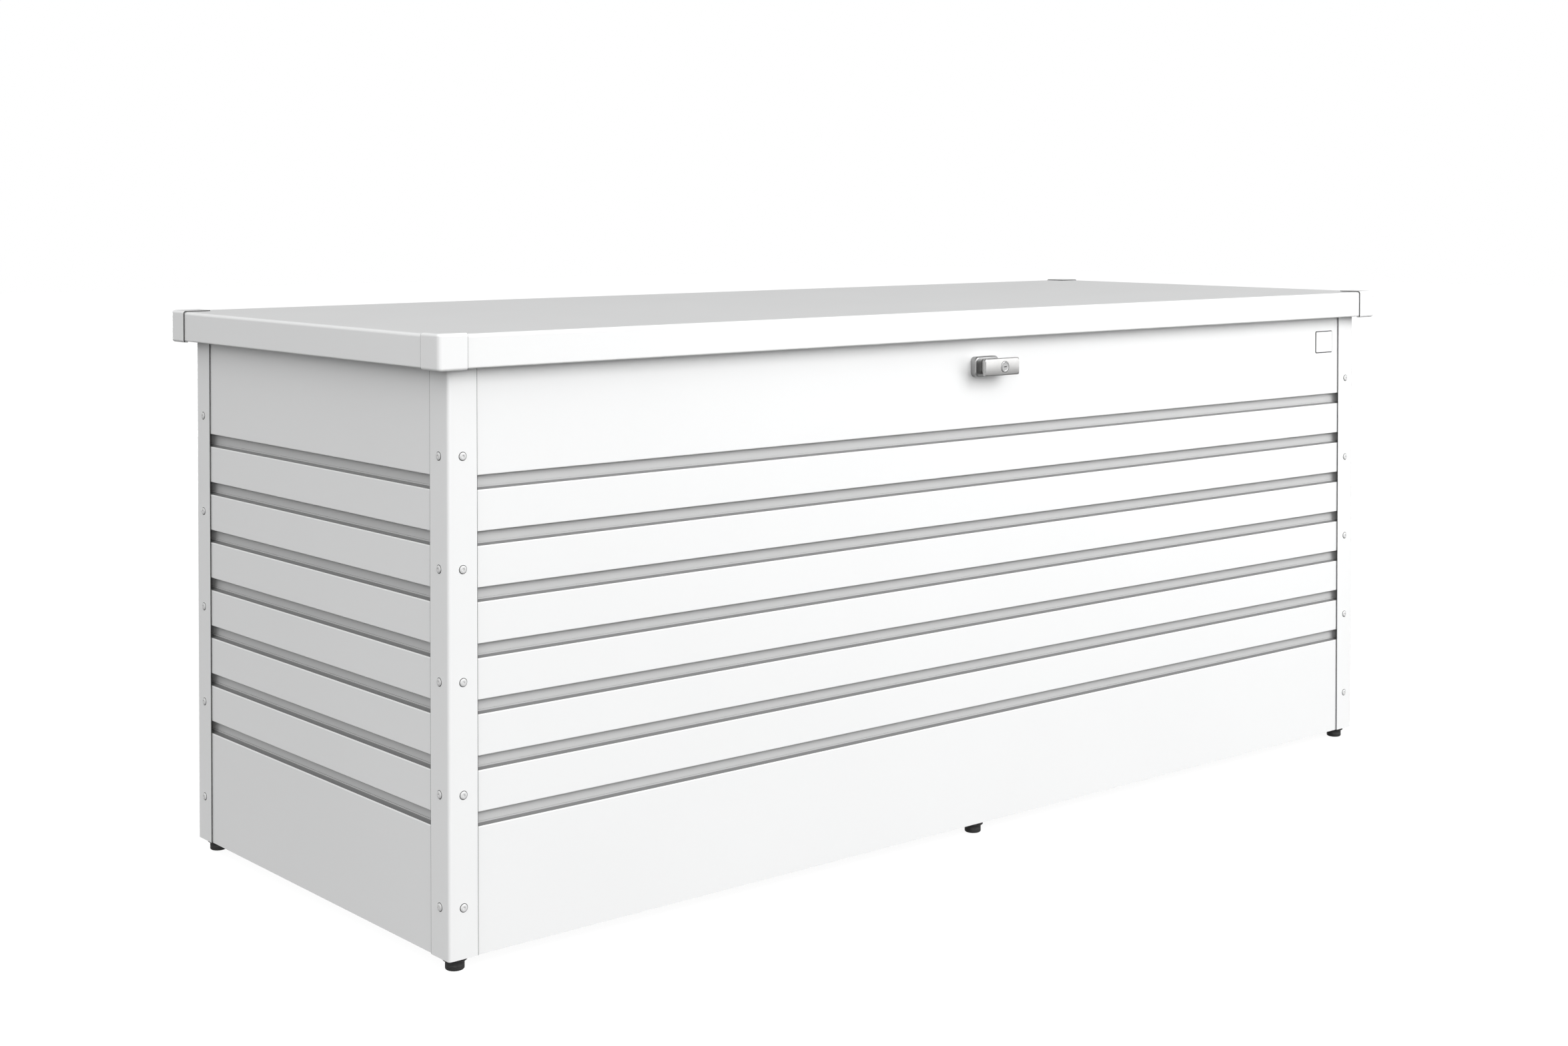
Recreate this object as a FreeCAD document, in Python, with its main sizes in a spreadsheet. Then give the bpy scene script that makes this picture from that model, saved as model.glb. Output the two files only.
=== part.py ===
import FreeCAD, Part
import functools
import math
import os
import re
import Sketcher

# Deck storage box of folded sheet steel: ribbed walls between corner posts, an overlapping
# lid with corner caps on three hinges and two gas springs, and a turn handle with two lock rods.
# +X is to the right seen from the front, +Y to the rear, +Z up; Z = 0 is the ground.

SIZES = [
    # body
    ("body_width", 1942), ("body_depth", 727), ("wall_height", 785), ("foot_height", 18),
    ("steel", 1.0), ("panel_inset", 2.2), ("panel_end_gap", 14),
    ("post_flange", 44.5), ("post_corner_radius", 4), ("post_edge_radius", 0.45),
    ("top_flange", 22), ("rail_steel", 1.5), ("rail_depth", 12), ("rail_height", 28),
    # grooves rolled into each wall
    ("groove_top", 622.5), ("groove_pitch", 72.84), ("groove_height", 18.8), ("groove_count", 7),
    ("groove_depth", 9.5), ("groove_seam", 1.0), ("seam_height", 4.0), ("groove_fall", 2.2),
    ("groove_lip_radius", 1.4),
    # screws in the posts
    ("screw_edge", 22.2), ("screw_lowest", 66.5), ("screw_pitch", 145.68), ("screw_count", 5),
    ("screw_head_radius", 5.1), ("screw_head_height", 1.7), ("screw_shank_radius", 2.0),
    ("screw_length", 6), ("screw_play", 0.05),
    # base and feet
    ("base_rail_width", 30), ("middle_rail_width", 44), ("base_rail_height", 16),
    ("pan_rim", 8), ("pan_gap", 1.0), ("fitting_gap", 0.2), ("foot_inset", 22),
    ("foot_radius", 12.7), ("foot_flange_radius", 16), ("foot_flange_height", 2.2),
    ("foot_edge_radius", 2.4), ("foot_stud_radius", 4), ("foot_stud_height", 12),
    ("stud_play", 0.1),
    # lid
    ("lid_bottom", 763.5), ("lid_height", 44.5), ("lid_overlap_side", 27),
    ("lid_overlap_front", 24), ("lid_edge_radius", 4.5), ("lid_corner_radius", 3.5),
    ("lid_hem", 3.5), ("lid_hem_radius", 2.2),
    ("cap_leg", 43.5), ("cap_proud", 2.0), ("cap_play", 0.35), ("cap_rise", 1.6), ("cap_drop", 2.0),
    ("cap_corner_radius", 6), ("cap_edge_radius", 4), ("cap_lip", 7),
    ("stiffener_width", 50), ("stiffener_crown", 30), ("stiffener_height", 14),
    ("stiffener_inset", 51), ("stiffener_end_gap", 20),
    ("buffer_play", 0.3), ("buffer_edge_radius", 1), ("overshoot", 1),
    # hinges
    ("hinge_behind", 13), ("hinge_level", 770), ("hinge_spacing", 650), ("knuckle_radius", 5),
    ("pin_radius", 2.5), ("pin_play", 0.05), ("pin_head_radius", 3.7), ("pin_head_height", 1.8),
    ("leaf_steel", 2), ("arm_offset", 1), ("leaf_clear", 7), ("knuckle_length", 34),
    ("knuckle_gap", 0.5), ("wall_leaf_height", 42), ("lid_leaf_height", 26), ("wall_leaf_screw", 10),
    ("leaf_screw_spacing", 37), ("leaf_screw_radius", 4), ("leaf_screw_height", 2),
    # turn handle
    ("handle_level", 718), ("handle_reach", 30.5), ("rosette_width", 52), ("rosette_height", 32),
    ("rosette_depth", 11), ("rosette_radius", 8), ("rosette_edge", 2.5),
    ("grip_left", 26), ("grip_right", 50), ("grip_height", 27), ("grip_depth", 6.5),
    ("grip_radius", 2.4), ("neck_width", 26), ("neck_height", 24), ("neck_radius", 5),
    ("handle_play", 0.4), ("spindle_radius", 6), ("spindle_play", 0.05), ("spindle_end_radius", 4),
    ("housing_radius", 18), ("housing_neck_radius", 12), ("housing_flange", 3), ("housing_depth", 16.5),
    ("barrel_offset", 17), ("barrel_radius", 8.7), ("barrel_depth", 6), ("barrel_proud", 0.4),
    ("barrel_edge_radius", 0.6),
    ("plug_radius", 6), ("keyway_width", 1.8), ("keyway_length", 7.0), ("keyway_depth", 3.5),
    # lock rods
    ("cam_radius", 20), ("cam_steel", 3), ("cam_level", 24), ("crank_radius", 16),
    ("crank_pin_radius", 3), ("crank_pin_length", 4.5), ("rod_level", 28), ("rod_steel", 3),
    ("rod_height", 12), ("rod_drop", 12), ("rod_tip", 884), ("yoke_width", 20), ("yoke_play", 0.75),
    ("yoke_rim", 3.5),
    ("guide_inner", 250), ("guide_outer", 800), ("guide_play", 0.8), ("guide_steel", 3),
    ("guide_margin", 5), ("guide_foot_width", 24), ("guide_foot_steel", 2),
    ("catch_gap", 4), ("catch_front", 22), ("catch_rear", 44), ("catch_bottom", 690),
    ("catch_flange", 20), ("catch_play_y", 1.5), ("catch_play_z", 2.5),
    # gas springs, their two pivots measured from the front of the body
    ("spring_inset", 45), ("spring_low_y", 650), ("spring_low_z", 480),
    ("spring_high_y", 636), ("spring_high_z", 750), ("spring_tube_radius", 9),
    ("spring_tube_start", 12), ("spring_tube_end", 222), ("spring_edge_radius", 2),
    ("spring_rod_radius", 4), ("spring_rod_start", 75), ("spring_bore_start", 70),
    ("spring_eye_width", 10), ("spring_eye_half", 8), ("spring_eye_radius", 3),
    ("spring_pin_radius", 4), ("eye_gap", 0.4), ("pivot_head_radius", 6), ("pivot_head_height", 2),
    ("bracket_steel", 2.5), ("bracket_half", 18), ("bracket_drop", 32), ("bracket_rise", 80),
    ("bracket_radius", 6), ("boss_half", 8), ("lid_bracket_gap", 7), ("lid_bracket_drop", 12),
    ("lid_bracket_flange", 24),
    # blank name plate
    ("plate_width", 50), ("plate_height", 40), ("plate_steel", 1.4), ("plate_radius", 3),
    ("plate_from_edge", 86), ("plate_level", 718.3),
]
ALIASES = {name for name, number in SIZES}

# Places in the row frame, written as expressions of the sheet's cells.
FRONT = "(-body_depth/2 + (handle_reach - lid_overlap_front - cap_proud)/2)"
REAR = f"({FRONT} + body_depth)"
MIDDLE_Y = f"({FRONT} + body_depth/2)"
BASE = "foot_height"
SIDE_FACE = "(body_width/2 - panel_inset)"
HINGE_Y = f"({REAR} + hinge_behind)"
HINGE_Z = "(foot_height + hinge_level)"
HANDLE_Z = "(foot_height + handle_level)"
WALL_FACE = f"({FRONT} + panel_inset)"
SPINDLE_START = f"({FRONT} - handle_reach + grip_depth + 2*overshoot)"
LID_TOP = "(foot_height + lid_bottom + lid_height)"
STIFFENER_Z = f"({LID_TOP} - steel - stiffener_height)"
STIFFENER_X = "(body_width/2 - stiffener_inset - stiffener_width/2)"
SCREW_HOLE = "screw_shank_radius + screw_play"
INSIDE = "(panel_inset + steel + fitting_gap)"

doc = FreeCAD.newDocument("deck_storage_box")
sheet = doc.addObject("Spreadsheet::Sheet", "sizes")
for row, (alias, number) in enumerate(SIZES, start=1):
    sheet.set(f"A{row}", alias)
    sheet.set(f"B{row}", str(number))
    sheet.setAlias(f"B{row}", alias)
sums = doc.addObject("Spreadsheet::Sheet", "sums")
doc.recompute()

parts = []

NEAR = 0.1
X_AXIS = FreeCAD.Vector(1, 0, 0)
Y_AXIS = FreeCAD.Vector(0, 1, 0)
Z_AXIS = FreeCAD.Vector(0, 0, 1)


# ---- helpers -------------------------------------------------------------------------------

def expression(text):
    """The text with each cell's alias written as sizes.alias."""
    return re.sub(r"[A-Za-z_]\w*", lambda word: "sizes." + word.group(0)
                  if word.group(0) in ALIASES else word.group(0), text)


@functools.cache
def number_of(text):
    """The number that an expression of the cells comes to."""
    sums.set("A1", "=" + expression(text))
    sums.recompute()
    return float(sums.get("A1"))


def bind(item, prop, text):
    item.setExpression(prop, expression(text))


def turn(axis, degrees):
    return FreeCAD.Rotation(axis, degrees)


def place(item, x="0", y="0", z="0", rotation=None):
    """Put an object in the row frame, its position bound to the sheet."""
    item.Placement = FreeCAD.Placement(
        FreeCAD.Vector(number_of(x), number_of(y), number_of(z)), rotation or FreeCAD.Rotation())
    bind(item, "Placement.Base.x", x)
    bind(item, "Placement.Base.y", y)
    bind(item, "Placement.Base.z", z)
    return item


def keep(item, label):
    """Name a finished sub-part; the label is its file's name."""
    item.Label = label
    parts.append(item)
    return item


def new_body(name):
    return doc.addObject("PartDesign::Body", "body_" + name)


def origin_part(body, role):
    return next(item for item in body.Origin.OriginFeatures if item.Role == role)


def rounded(corners):
    """Corners (u, v) or (u, v, radius) of a right-angled outline as points and arcs."""
    spots = [(number_of(corner[0]), number_of(corner[1])) for corner in corners]
    outline = []
    for index, corner in enumerate(corners):
        if len(corner) == 2:
            outline.append(corner)
            continue
        u, v, radius = corner
        here = spots[index]
        steps = []
        for other in (spots[index - 1], spots[(index + 1) % len(spots)]):
            length = math.hypot(other[0] - here[0], other[1] - here[1])
            steps.append(((other[0] - here[0]) / length, (other[1] - here[1]) / length))
        before, after = [(round(step[0]), round(step[1])) for step in steps]
        outline.append((f"{u} + ({radius})*{before[0]}", f"{v} + ({radius})*{before[1]}"))
        outline.append(("arc", f"{u} + ({radius})*{before[0] + after[0]}",
                        f"{v} + ({radius})*{before[1] + after[1]}", radius))
        outline.append((f"{u} + ({radius})*{after[0]}", f"{v} + ({radius})*{after[1]}"))
    return outline


def draw(sketch, outline):
    """A closed outline of (u, v) points, with ("arc", u, v, radius) centres between two of them."""
    points = [item for item in outline if item[0] != "arc"]
    arcs = {}
    count = 0
    for item in outline:
        if item[0] == "arc":
            arcs[count - 1] = item[1:]
        else:
            count += 1
    first = sketch.GeometryCount
    ends = []
    for index, point in enumerate(points):
        start = FreeCAD.Vector(number_of(point[0]), number_of(point[1]), 0)
        other = points[(index + 1) % len(points)]
        end = FreeCAD.Vector(number_of(other[0]), number_of(other[1]), 0)
        if index not in arcs:
            sketch.addGeometry(Part.LineSegment(start, end))
            ends.append((1, 2))
            continue
        u, v, radius = arcs[index]
        centre = FreeCAD.Vector(number_of(u), number_of(v), 0)
        begin = start - centre
        finish = end - centre
        angles = [math.atan2(begin.y, begin.x), math.atan2(finish.y, finish.x)]
        counterclockwise = begin.x * finish.y - begin.y * finish.x > 0
        if not counterclockwise:
            angles.reverse()
        circle = Part.Circle(centre, Z_AXIS, number_of(radius))
        sketch.addGeometry(Part.ArcOfCircle(circle, *angles))
        ends.append((1, 2) if counterclockwise else (2, 1))
    for index, point in enumerate(points):
        following = (index + 1) % len(points)
        sketch.addConstraint(Sketcher.Constraint(
            "Coincident", first + index, ends[index][1], first + following, ends[following][0]))
        for kind, text in zip(("DistanceX", "DistanceY"), point):
            rule = sketch.addConstraint(Sketcher.Constraint(
                kind, -1, 1, first + index, ends[index][0], number_of(text)))
            bind(sketch, f"Constraints[{rule}]", text)
        if index in arcs:
            rule = sketch.addConstraint(Sketcher.Constraint(
                "Radius", first + index, number_of(arcs[index][2])))
            bind(sketch, f"Constraints[{rule}]", arcs[index][2])


def draw_circle(sketch, u, v, radius):
    circle = Part.Circle(FreeCAD.Vector(number_of(u), number_of(v), 0), Z_AXIS, number_of(radius))
    index = sketch.addGeometry(circle)
    for kind, text in (("DistanceX", u), ("DistanceY", v)):
        rule = sketch.addConstraint(Sketcher.Constraint(kind, -1, 1, index, 3, number_of(text)))
        bind(sketch, f"Constraints[{rule}]", text)
    rule = sketch.addConstraint(Sketcher.Constraint("Radius", index, number_of(radius)))
    bind(sketch, f"Constraints[{rule}]", radius)


def new_sketch(body, plane, name):
    sketch = body.newObject("Sketcher::SketchObject", f"{body.Name}_{name}")
    sketch.AttachmentSupport = [(origin_part(body, plane), "")]
    sketch.MapMode = "FlatFace"
    return sketch


def pad(body, plane, outline, length, name, centred=False, start=None):
    """Add a prism: XY outlines grow to +Z, XZ outlines to +Y and YZ outlines to +X."""
    sketch = new_sketch(body, plane, name + "_outline")
    draw(sketch, outline)
    if start is not None:
        bind(sketch, "AttachmentOffset.Base.z", f"-({start})" if plane == "XZ_Plane" else start)
    feature = body.newObject("PartDesign::Pad", f"{body.Name}_{name}")
    feature.Profile = sketch
    bind(feature, "Length", length)
    feature.Midplane = centred
    feature.Reversed = plane == "XZ_Plane" and not centred
    return feature


def pocket(body, plane, length, name, outline=None, circles=()):
    """Cut a prism that runs length/2 to both sides of the plane."""
    sketch = new_sketch(body, plane, name + "_outline")
    if outline:
        draw(sketch, outline)
    for circle in circles:
        draw_circle(sketch, *circle)
    feature = body.newObject("PartDesign::Pocket", f"{body.Name}_{name}")
    feature.Profile = sketch
    bind(feature, "Length", length)
    feature.Midplane = True
    return feature


def repeat_along_z(body, features, pitch, count, name, downwards=False):
    """Repeat features along the body's Z axis."""
    pattern = body.newObject("PartDesign::LinearPattern", f"{body.Name}_{name}")
    pattern.Originals = features
    pattern.Direction = (origin_part(body, "Z_Axis"), [""])
    pattern.Reversed = downwards
    bind(pattern, "Length", f"{pitch}*({count} - 1)")
    bind(pattern, "Occurrences", count)
    body.Tip = pattern
    return pattern


def prism(label, plane, outline, length, centred=False):
    """A sub-part that is one prism of an outline."""
    body = new_body(label)
    pad(body, plane, outline, length, "shape", centred)
    return keep(body, label)


def turned(name, outline):
    """A body turned about its own Z axis from (radius, height) points."""
    body = new_body(name)
    sketch = new_sketch(body, "XZ_Plane", "outline")
    draw(sketch, outline)
    feature = body.newObject("PartDesign::Revolution", f"{body.Name}_shape")
    feature.Profile = sketch
    feature.ReferenceAxis = (sketch, ["V_Axis"])
    feature.Angle = 360
    return body


def rectangle(low_u, low_v, high_u, high_v, radius=None):
    corners = [(low_u, low_v), (high_u, low_v), (high_u, high_v), (low_u, high_v)]
    return rounded([corner + (radius,) if radius else corner for corner in corners])


def along(direction):
    """The rotation that turns a body's own Z axis into a direction."""
    return FreeCAD.Rotation(Z_AXIS, direction)


def group(label, seed, placements):
    """Identical pieces in one node, as separate solids made from one seed body."""
    doc.recompute()
    base = seed.Shape.copy()
    base.Placement = FreeCAD.Placement()
    pieces = []
    for placement in placements:
        piece = base.copy()
        piece.Placement = placement
        pieces.append(piece)
    item = doc.addObject("Part::Feature", "group_" + label)
    item.Shape = Part.makeCompound(pieces)
    return keep(item, label)


def spot(x, y, z, rotation=None):
    """A placement from expressions, for one piece of a group."""
    return FreeCAD.Placement(FreeCAD.Vector(number_of(x), number_of(y), number_of(z)),
                             rotation or FreeCAD.Rotation())


# ---- walls and posts -------------------------------------------------------------------------

def wall(label, width, top_flange):
    """A ribbed sheet wall: its face is at Y = 0 and looks to -Y, and its grooves go back to +Y."""
    body = new_body(label)
    section = [("0", "0"), ("steel", "0"), ("steel", "wall_height"), ("0", "wall_height")]
    if top_flange:
        section = [("0", "0"), ("steel", "0"), ("steel", "wall_height - steel"),
                   ("top_flange", "wall_height - steel"), ("top_flange", "wall_height"),
                   ("0", "wall_height")]
    pad(body, "YZ_Plane", section, width, "sheet", centred=True)
    bottom = "groove_top - groove_height"
    channel = [("0", "groove_top + steel"), ("groove_depth + steel", "groove_top + steel"),
               ("groove_depth + steel", f"{bottom} + groove_fall - steel"),
               ("0", f"{bottom} - steel")]
    ridge = pad(body, "YZ_Plane", channel, width, "channel", centred=True)
    inner = "groove_depth - groove_seam"
    groove = [
        ("-1", "groove_top + groove_lip_radius"), ("0", "groove_top + groove_lip_radius"),
        ("arc", "groove_lip_radius", "groove_top + groove_lip_radius", "groove_lip_radius"),
        ("groove_lip_radius", "groove_top"), ("groove_depth", "groove_top"),
        ("groove_depth", f"{bottom} + seam_height"), (inner, f"{bottom} + seam_height"),
        (inner, f"{bottom} + groove_fall"), ("groove_lip_radius", bottom),
        ("arc", "groove_lip_radius", f"{bottom} - groove_lip_radius", "groove_lip_radius"),
        ("0", f"{bottom} - groove_lip_radius"), ("-1", f"{bottom} - groove_lip_radius"),
    ]
    slot = pocket(body, "YZ_Plane", f"{width} + 2", "groove", outline=groove)
    repeat_along_z(body, [ridge, slot], "groove_pitch", "groove_count", "grooves", downwards=True)
    screw_at = f"({width}/2 + panel_end_gap - screw_edge)"
    holes = pocket(body, "XZ_Plane", "4*steel", "screw_holes", circles=[
        (f"-{screw_at}", "screw_lowest", SCREW_HOLE), (screw_at, "screw_lowest", SCREW_HOLE)])
    repeat_along_z(body, [holes], "screw_pitch", "screw_count", "rows_of_holes")
    return keep(body, label)


def make_walls():
    long_side = "(body_width - 2*panel_end_gap)"
    short_side = "(body_depth - 2*panel_end_gap)"
    front = wall("front_wall", long_side, top_flange=False)
    front.Tip = pocket(front, "XZ_Plane", "4*steel", "spindle_hole",
                       circles=[("0", "handle_level", "spindle_radius + overshoot")])
    place(front, "0", f"{FRONT} + panel_inset", BASE)
    rear = wall("rear_wall", long_side, top_flange=False)
    place(rear, "0", f"{REAR} - panel_inset", BASE, turn(Z_AXIS, 180))
    left = wall("left_wall", short_side, top_flange=True)
    place(left, f"-{SIDE_FACE}", MIDDLE_Y, BASE, turn(Z_AXIS, -90))
    right = wall("right_wall", short_side, top_flange=True)
    place(right, SIDE_FACE, MIDDLE_Y, BASE, turn(Z_AXIS, 90))


CORNERS = [("front_left", -1, -1, 0), ("front_right", 1, -1, 90),
           ("rear_right", 1, 1, 180), ("rear_left", -1, 1, -90)]


def make_posts():
    """Corner posts: an angle with rounded corner and edges, and screw holes in both flanges."""
    edge = "post_edge_radius"
    angle = rounded([
        ("0", "0", "post_corner_radius"), ("post_flange", "0", edge), ("post_flange", "steel"),
        ("steel", "steel", "(post_corner_radius - steel)"), ("steel", "post_flange"),
        ("0", "post_flange", edge)])
    for name, side, end, degrees in CORNERS:
        body = new_body("post_" + name)
        pad(body, "XY_Plane", angle, "wall_height", "angle")
        hole = [("screw_edge", "screw_lowest", SCREW_HOLE)]
        for plane in ("XZ_Plane", "YZ_Plane"):
            first = pocket(body, plane, "4*steel", f"{plane[:2]}_hole", circles=hole)
            repeat_along_z(body, [first], "screw_pitch", "screw_count", f"{plane[:2]}_holes")
        keep(body, "post_" + name)
        place(body, f"{side}*body_width/2", f"{MIDDLE_Y} + {end}*body_depth/2", BASE,
              turn(Z_AXIS, degrees))


def make_post_screws():
    """Low domed screws, head outwards, five in each flange of each post."""
    radius = number_of("screw_head_radius")
    height = number_of("screw_head_height")
    dome = (radius ** 2 + height ** 2) / (2 * height)
    seed = turned("screw_seed", [
        ("0", "-screw_length"), ("screw_shank_radius", "-screw_length"), ("screw_shank_radius", "0"),
        ("screw_head_radius", "0"), ("arc", "0", f"screw_head_height - {dome}", str(dome)),
        ("0", "screw_head_height")])
    spots = []
    for name, side, end, degrees in CORNERS:
        corner = FreeCAD.Vector(number_of(f"{side}*body_width/2"),
                                number_of(f"{MIDDLE_Y} + {end}*body_depth/2"), number_of(BASE))
        post = FreeCAD.Placement(corner, turn(Z_AXIS, degrees))
        for row in range(int(number_of("screw_count"))):
            height_of_row = f"screw_lowest + {row}*screw_pitch"
            spots.append(post * spot("screw_edge", "0", height_of_row, along(-Y_AXIS)))
            spots.append(post * spot("0", "screw_edge", height_of_row, along(-X_AXIS)))
    group("post_screws", seed, spots)


# ---- frame, floor and feet -------------------------------------------------------------------

def make_top_rails():
    """Channels behind the upper edges of the front and rear walls."""
    channel = [("0", "0"), ("rail_depth", "0"), ("rail_depth", "rail_steel"),
               ("rail_steel", "rail_steel"), ("rail_steel", "rail_height - rail_steel"),
               ("rail_depth", "rail_height - rail_steel"), ("rail_depth", "rail_height"),
               ("0", "rail_height")]
    length = "(body_width - 2*(panel_inset + top_flange + fitting_gap))"
    level = "(foot_height + wall_height - rail_height)"
    front = prism("front_top_rail", "YZ_Plane", channel, length, centred=True)
    place(front, "0", f"{FRONT} + panel_inset + steel", level)
    rear = prism("rear_top_rail", "YZ_Plane", channel, length, centred=True)
    place(rear, "0", f"{REAR} - panel_inset - steel", level, turn(Z_AXIS, 180))


def make_base_rails():
    """Upright U-channels from front to rear that carry the floor pans and the feet."""
    start = f"({INSIDE} + steel + fitting_gap)"
    length = f"(body_depth - 2*{start})"
    stud = f"(foot_inset - {start})"
    side_x = f"(body_width/2 - {INSIDE} - base_rail_width/2)"
    off_centre = f"(body_width/2 - foot_inset - {side_x})"
    for name, x, width, stud_x in (("left", f"-{side_x}", "base_rail_width", f"-{off_centre}"),
                                   ("middle", "0", "middle_rail_width", "0"),
                                   ("right", side_x, "base_rail_width", off_centre)):
        half = f"{width}/2"
        rail = prism(name + "_base_rail", "XZ_Plane", [
            (f"-{half}", "0"), (half, "0"), (half, "base_rail_height"),
            (f"{half} - rail_steel", "base_rail_height"), (f"{half} - rail_steel", "rail_steel"),
            (f"-{half} + rail_steel", "rail_steel"), (f"-{half} + rail_steel", "base_rail_height"),
            (f"-{half}", "base_rail_height")], length)
        hole = "foot_stud_radius + stud_play"
        rail.Tip = pocket(rail, "XY_Plane", "4*rail_steel", "stud_holes", circles=[
            (stud_x, stud, hole), (stud_x, f"{length} - {stud}", hole)])
        place(rail, x, f"{FRONT} + {start}", BASE)


def make_floor_pans():
    """Two floor sheets on the base rails, each with its front and rear edge bent down."""
    depth = f"(body_depth - 2*{INSIDE})"
    section = [("0", "-pan_rim"), ("steel", "-pan_rim"), ("steel", "0"), (f"{depth} - steel", "0"),
               (f"{depth} - steel", "-pan_rim"), (depth, "-pan_rim"), (depth, "steel"), ("0", "steel")]
    for name, x in (("left", f"-body_width/2 + {INSIDE}"), ("right", "pan_gap/2")):
        pan = prism(name + "_floor_pan", "YZ_Plane", section, f"(body_width/2 - {INSIDE} - pan_gap/2)")
        place(pan, x, f"{FRONT} + {INSIDE}", "foot_height + base_rail_height")


def make_feet():
    """Push-in plastic feet: a round pad, a thin flange under the sheet and a stud."""
    top = "foot_height"
    outline = [
        ("0", "0"), ("foot_radius - foot_edge_radius", "0"),
        ("arc", "foot_radius - foot_edge_radius", "foot_edge_radius", "foot_edge_radius"),
        ("foot_radius", "foot_edge_radius"), ("foot_radius", f"{top} - foot_flange_height"),
        ("foot_flange_radius", f"{top} - foot_flange_height"), ("foot_flange_radius", top),
        ("foot_stud_radius", top), ("foot_stud_radius", f"{top} + foot_stud_height"),
        ("0", f"{top} + foot_stud_height")]
    columns = (("left", "-body_width/2 + foot_inset"), ("middle", "0"),
               ("right", "body_width/2 - foot_inset"))
    rows = (("front", f"{FRONT} + foot_inset"), ("rear", f"{REAR} - foot_inset"))
    for end, y in rows:
        for side, x in columns:
            foot = turned(f"foot_{end}_{side}", outline)
            keep(foot, f"foot_{end}_{side}")
            place(foot, x, y)


def make_name_plate():
    """A small plate with rounded corners and no lettering, on the front wall."""
    plate = prism("name_plate", "XZ_Plane",
                  rectangle("-plate_width/2", "-plate_height/2", "plate_width/2", "plate_height/2",
                            "plate_radius"), "plate_steel")
    place(plate, "body_width/2 - plate_from_edge", f"{FRONT} + panel_inset - plate_steel",
          "foot_height + plate_level")


# ---- lid ---------------------------------------------------------------------------------------

def edges_where(shape, test):
    """Names of the edges whose middle point passes the test."""
    names = []
    for index, edge in enumerate(shape.Edges, start=1):
        middle = edge.valueAt((edge.FirstParameter + edge.LastParameter) / 2)
        if test(middle, edge):
            names.append(index)
    return names


def block(name, size, corner):
    """A box primitive from expressions: its three sizes and its lowest corner."""
    item = doc.addObject("Part::Box", name)
    for prop, text in zip(("Length", "Width", "Height"), size):
        bind(item, prop, text)
    place(item, *corner)
    return item


def filleted(name, base, choices):
    """Round chosen edges: choices are (test, radius expression) pairs."""
    doc.recompute()
    item = doc.addObject("Part::Fillet", name)
    item.Base = base
    chosen = []
    for test, radius in choices:
        for index in edges_where(base.Shape, test):
            chosen.append((index, number_of(radius), number_of(radius)))
    item.Edges = chosen
    return item


def cut(name, base, tool):
    item = doc.addObject("Part::Cut", name)
    item.Base = base
    item.Tool = tool
    return item


def is_upright(edge):
    return abs(edge.tangentAt(edge.FirstParameter).z) > 0.99


def make_lid_shell():
    """The lid: a pan open below, with rounded edges and a narrow hem round its lower rim."""
    width = "(body_width + 2*lid_overlap_side)"
    depth = "(body_depth + 2*lid_overlap_front)"
    low = "(foot_height + lid_bottom)"
    outer = block("lid_outer", (width, depth, "lid_height"),
                  (f"-{width}/2", f"{FRONT} - lid_overlap_front", low))
    top = number_of(LID_TOP)
    bottom = number_of(low)
    rounded_outer = filleted("lid_outer_rounded", outer, [
        (lambda middle, edge: is_upright(edge), "lid_corner_radius"),
        (lambda middle, edge: abs(middle.z - top) < NEAR, "lid_edge_radius"),
        (lambda middle, edge: abs(middle.z - bottom) < NEAR, "lid_hem_radius")])
    inner = block("lid_inner", (f"{width} - 2*steel", f"{depth} - 2*steel", "lid_height - 2*steel"),
                  (f"-{width}/2 + steel", f"{FRONT} - lid_overlap_front + steel", f"{low} + steel"))
    inner_top = number_of(f"{LID_TOP} - steel")
    inner_bottom = number_of(f"{low} + steel")
    rounded_inner = filleted("lid_inner_rounded", inner, [
        (lambda middle, edge: is_upright(edge), "lid_corner_radius - steel"),
        (lambda middle, edge: abs(middle.z - inner_top) < NEAR, "lid_edge_radius - steel"),
        (lambda middle, edge: abs(middle.z - inner_bottom) < NEAR, "lid_hem_radius - steel")])
    mouth = block("lid_mouth", (f"{width} - 2*lid_hem", f"{depth} - 2*lid_hem", "4*steel"),
                  (f"-{width}/2 + lid_hem", f"{FRONT} - lid_overlap_front + lid_hem", f"{low} - steel"))
    hollow = cut("lid_hollow", rounded_outer, rounded_inner)
    keep(cut("lid_pan", hollow, mouth), "lid_shell")


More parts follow.
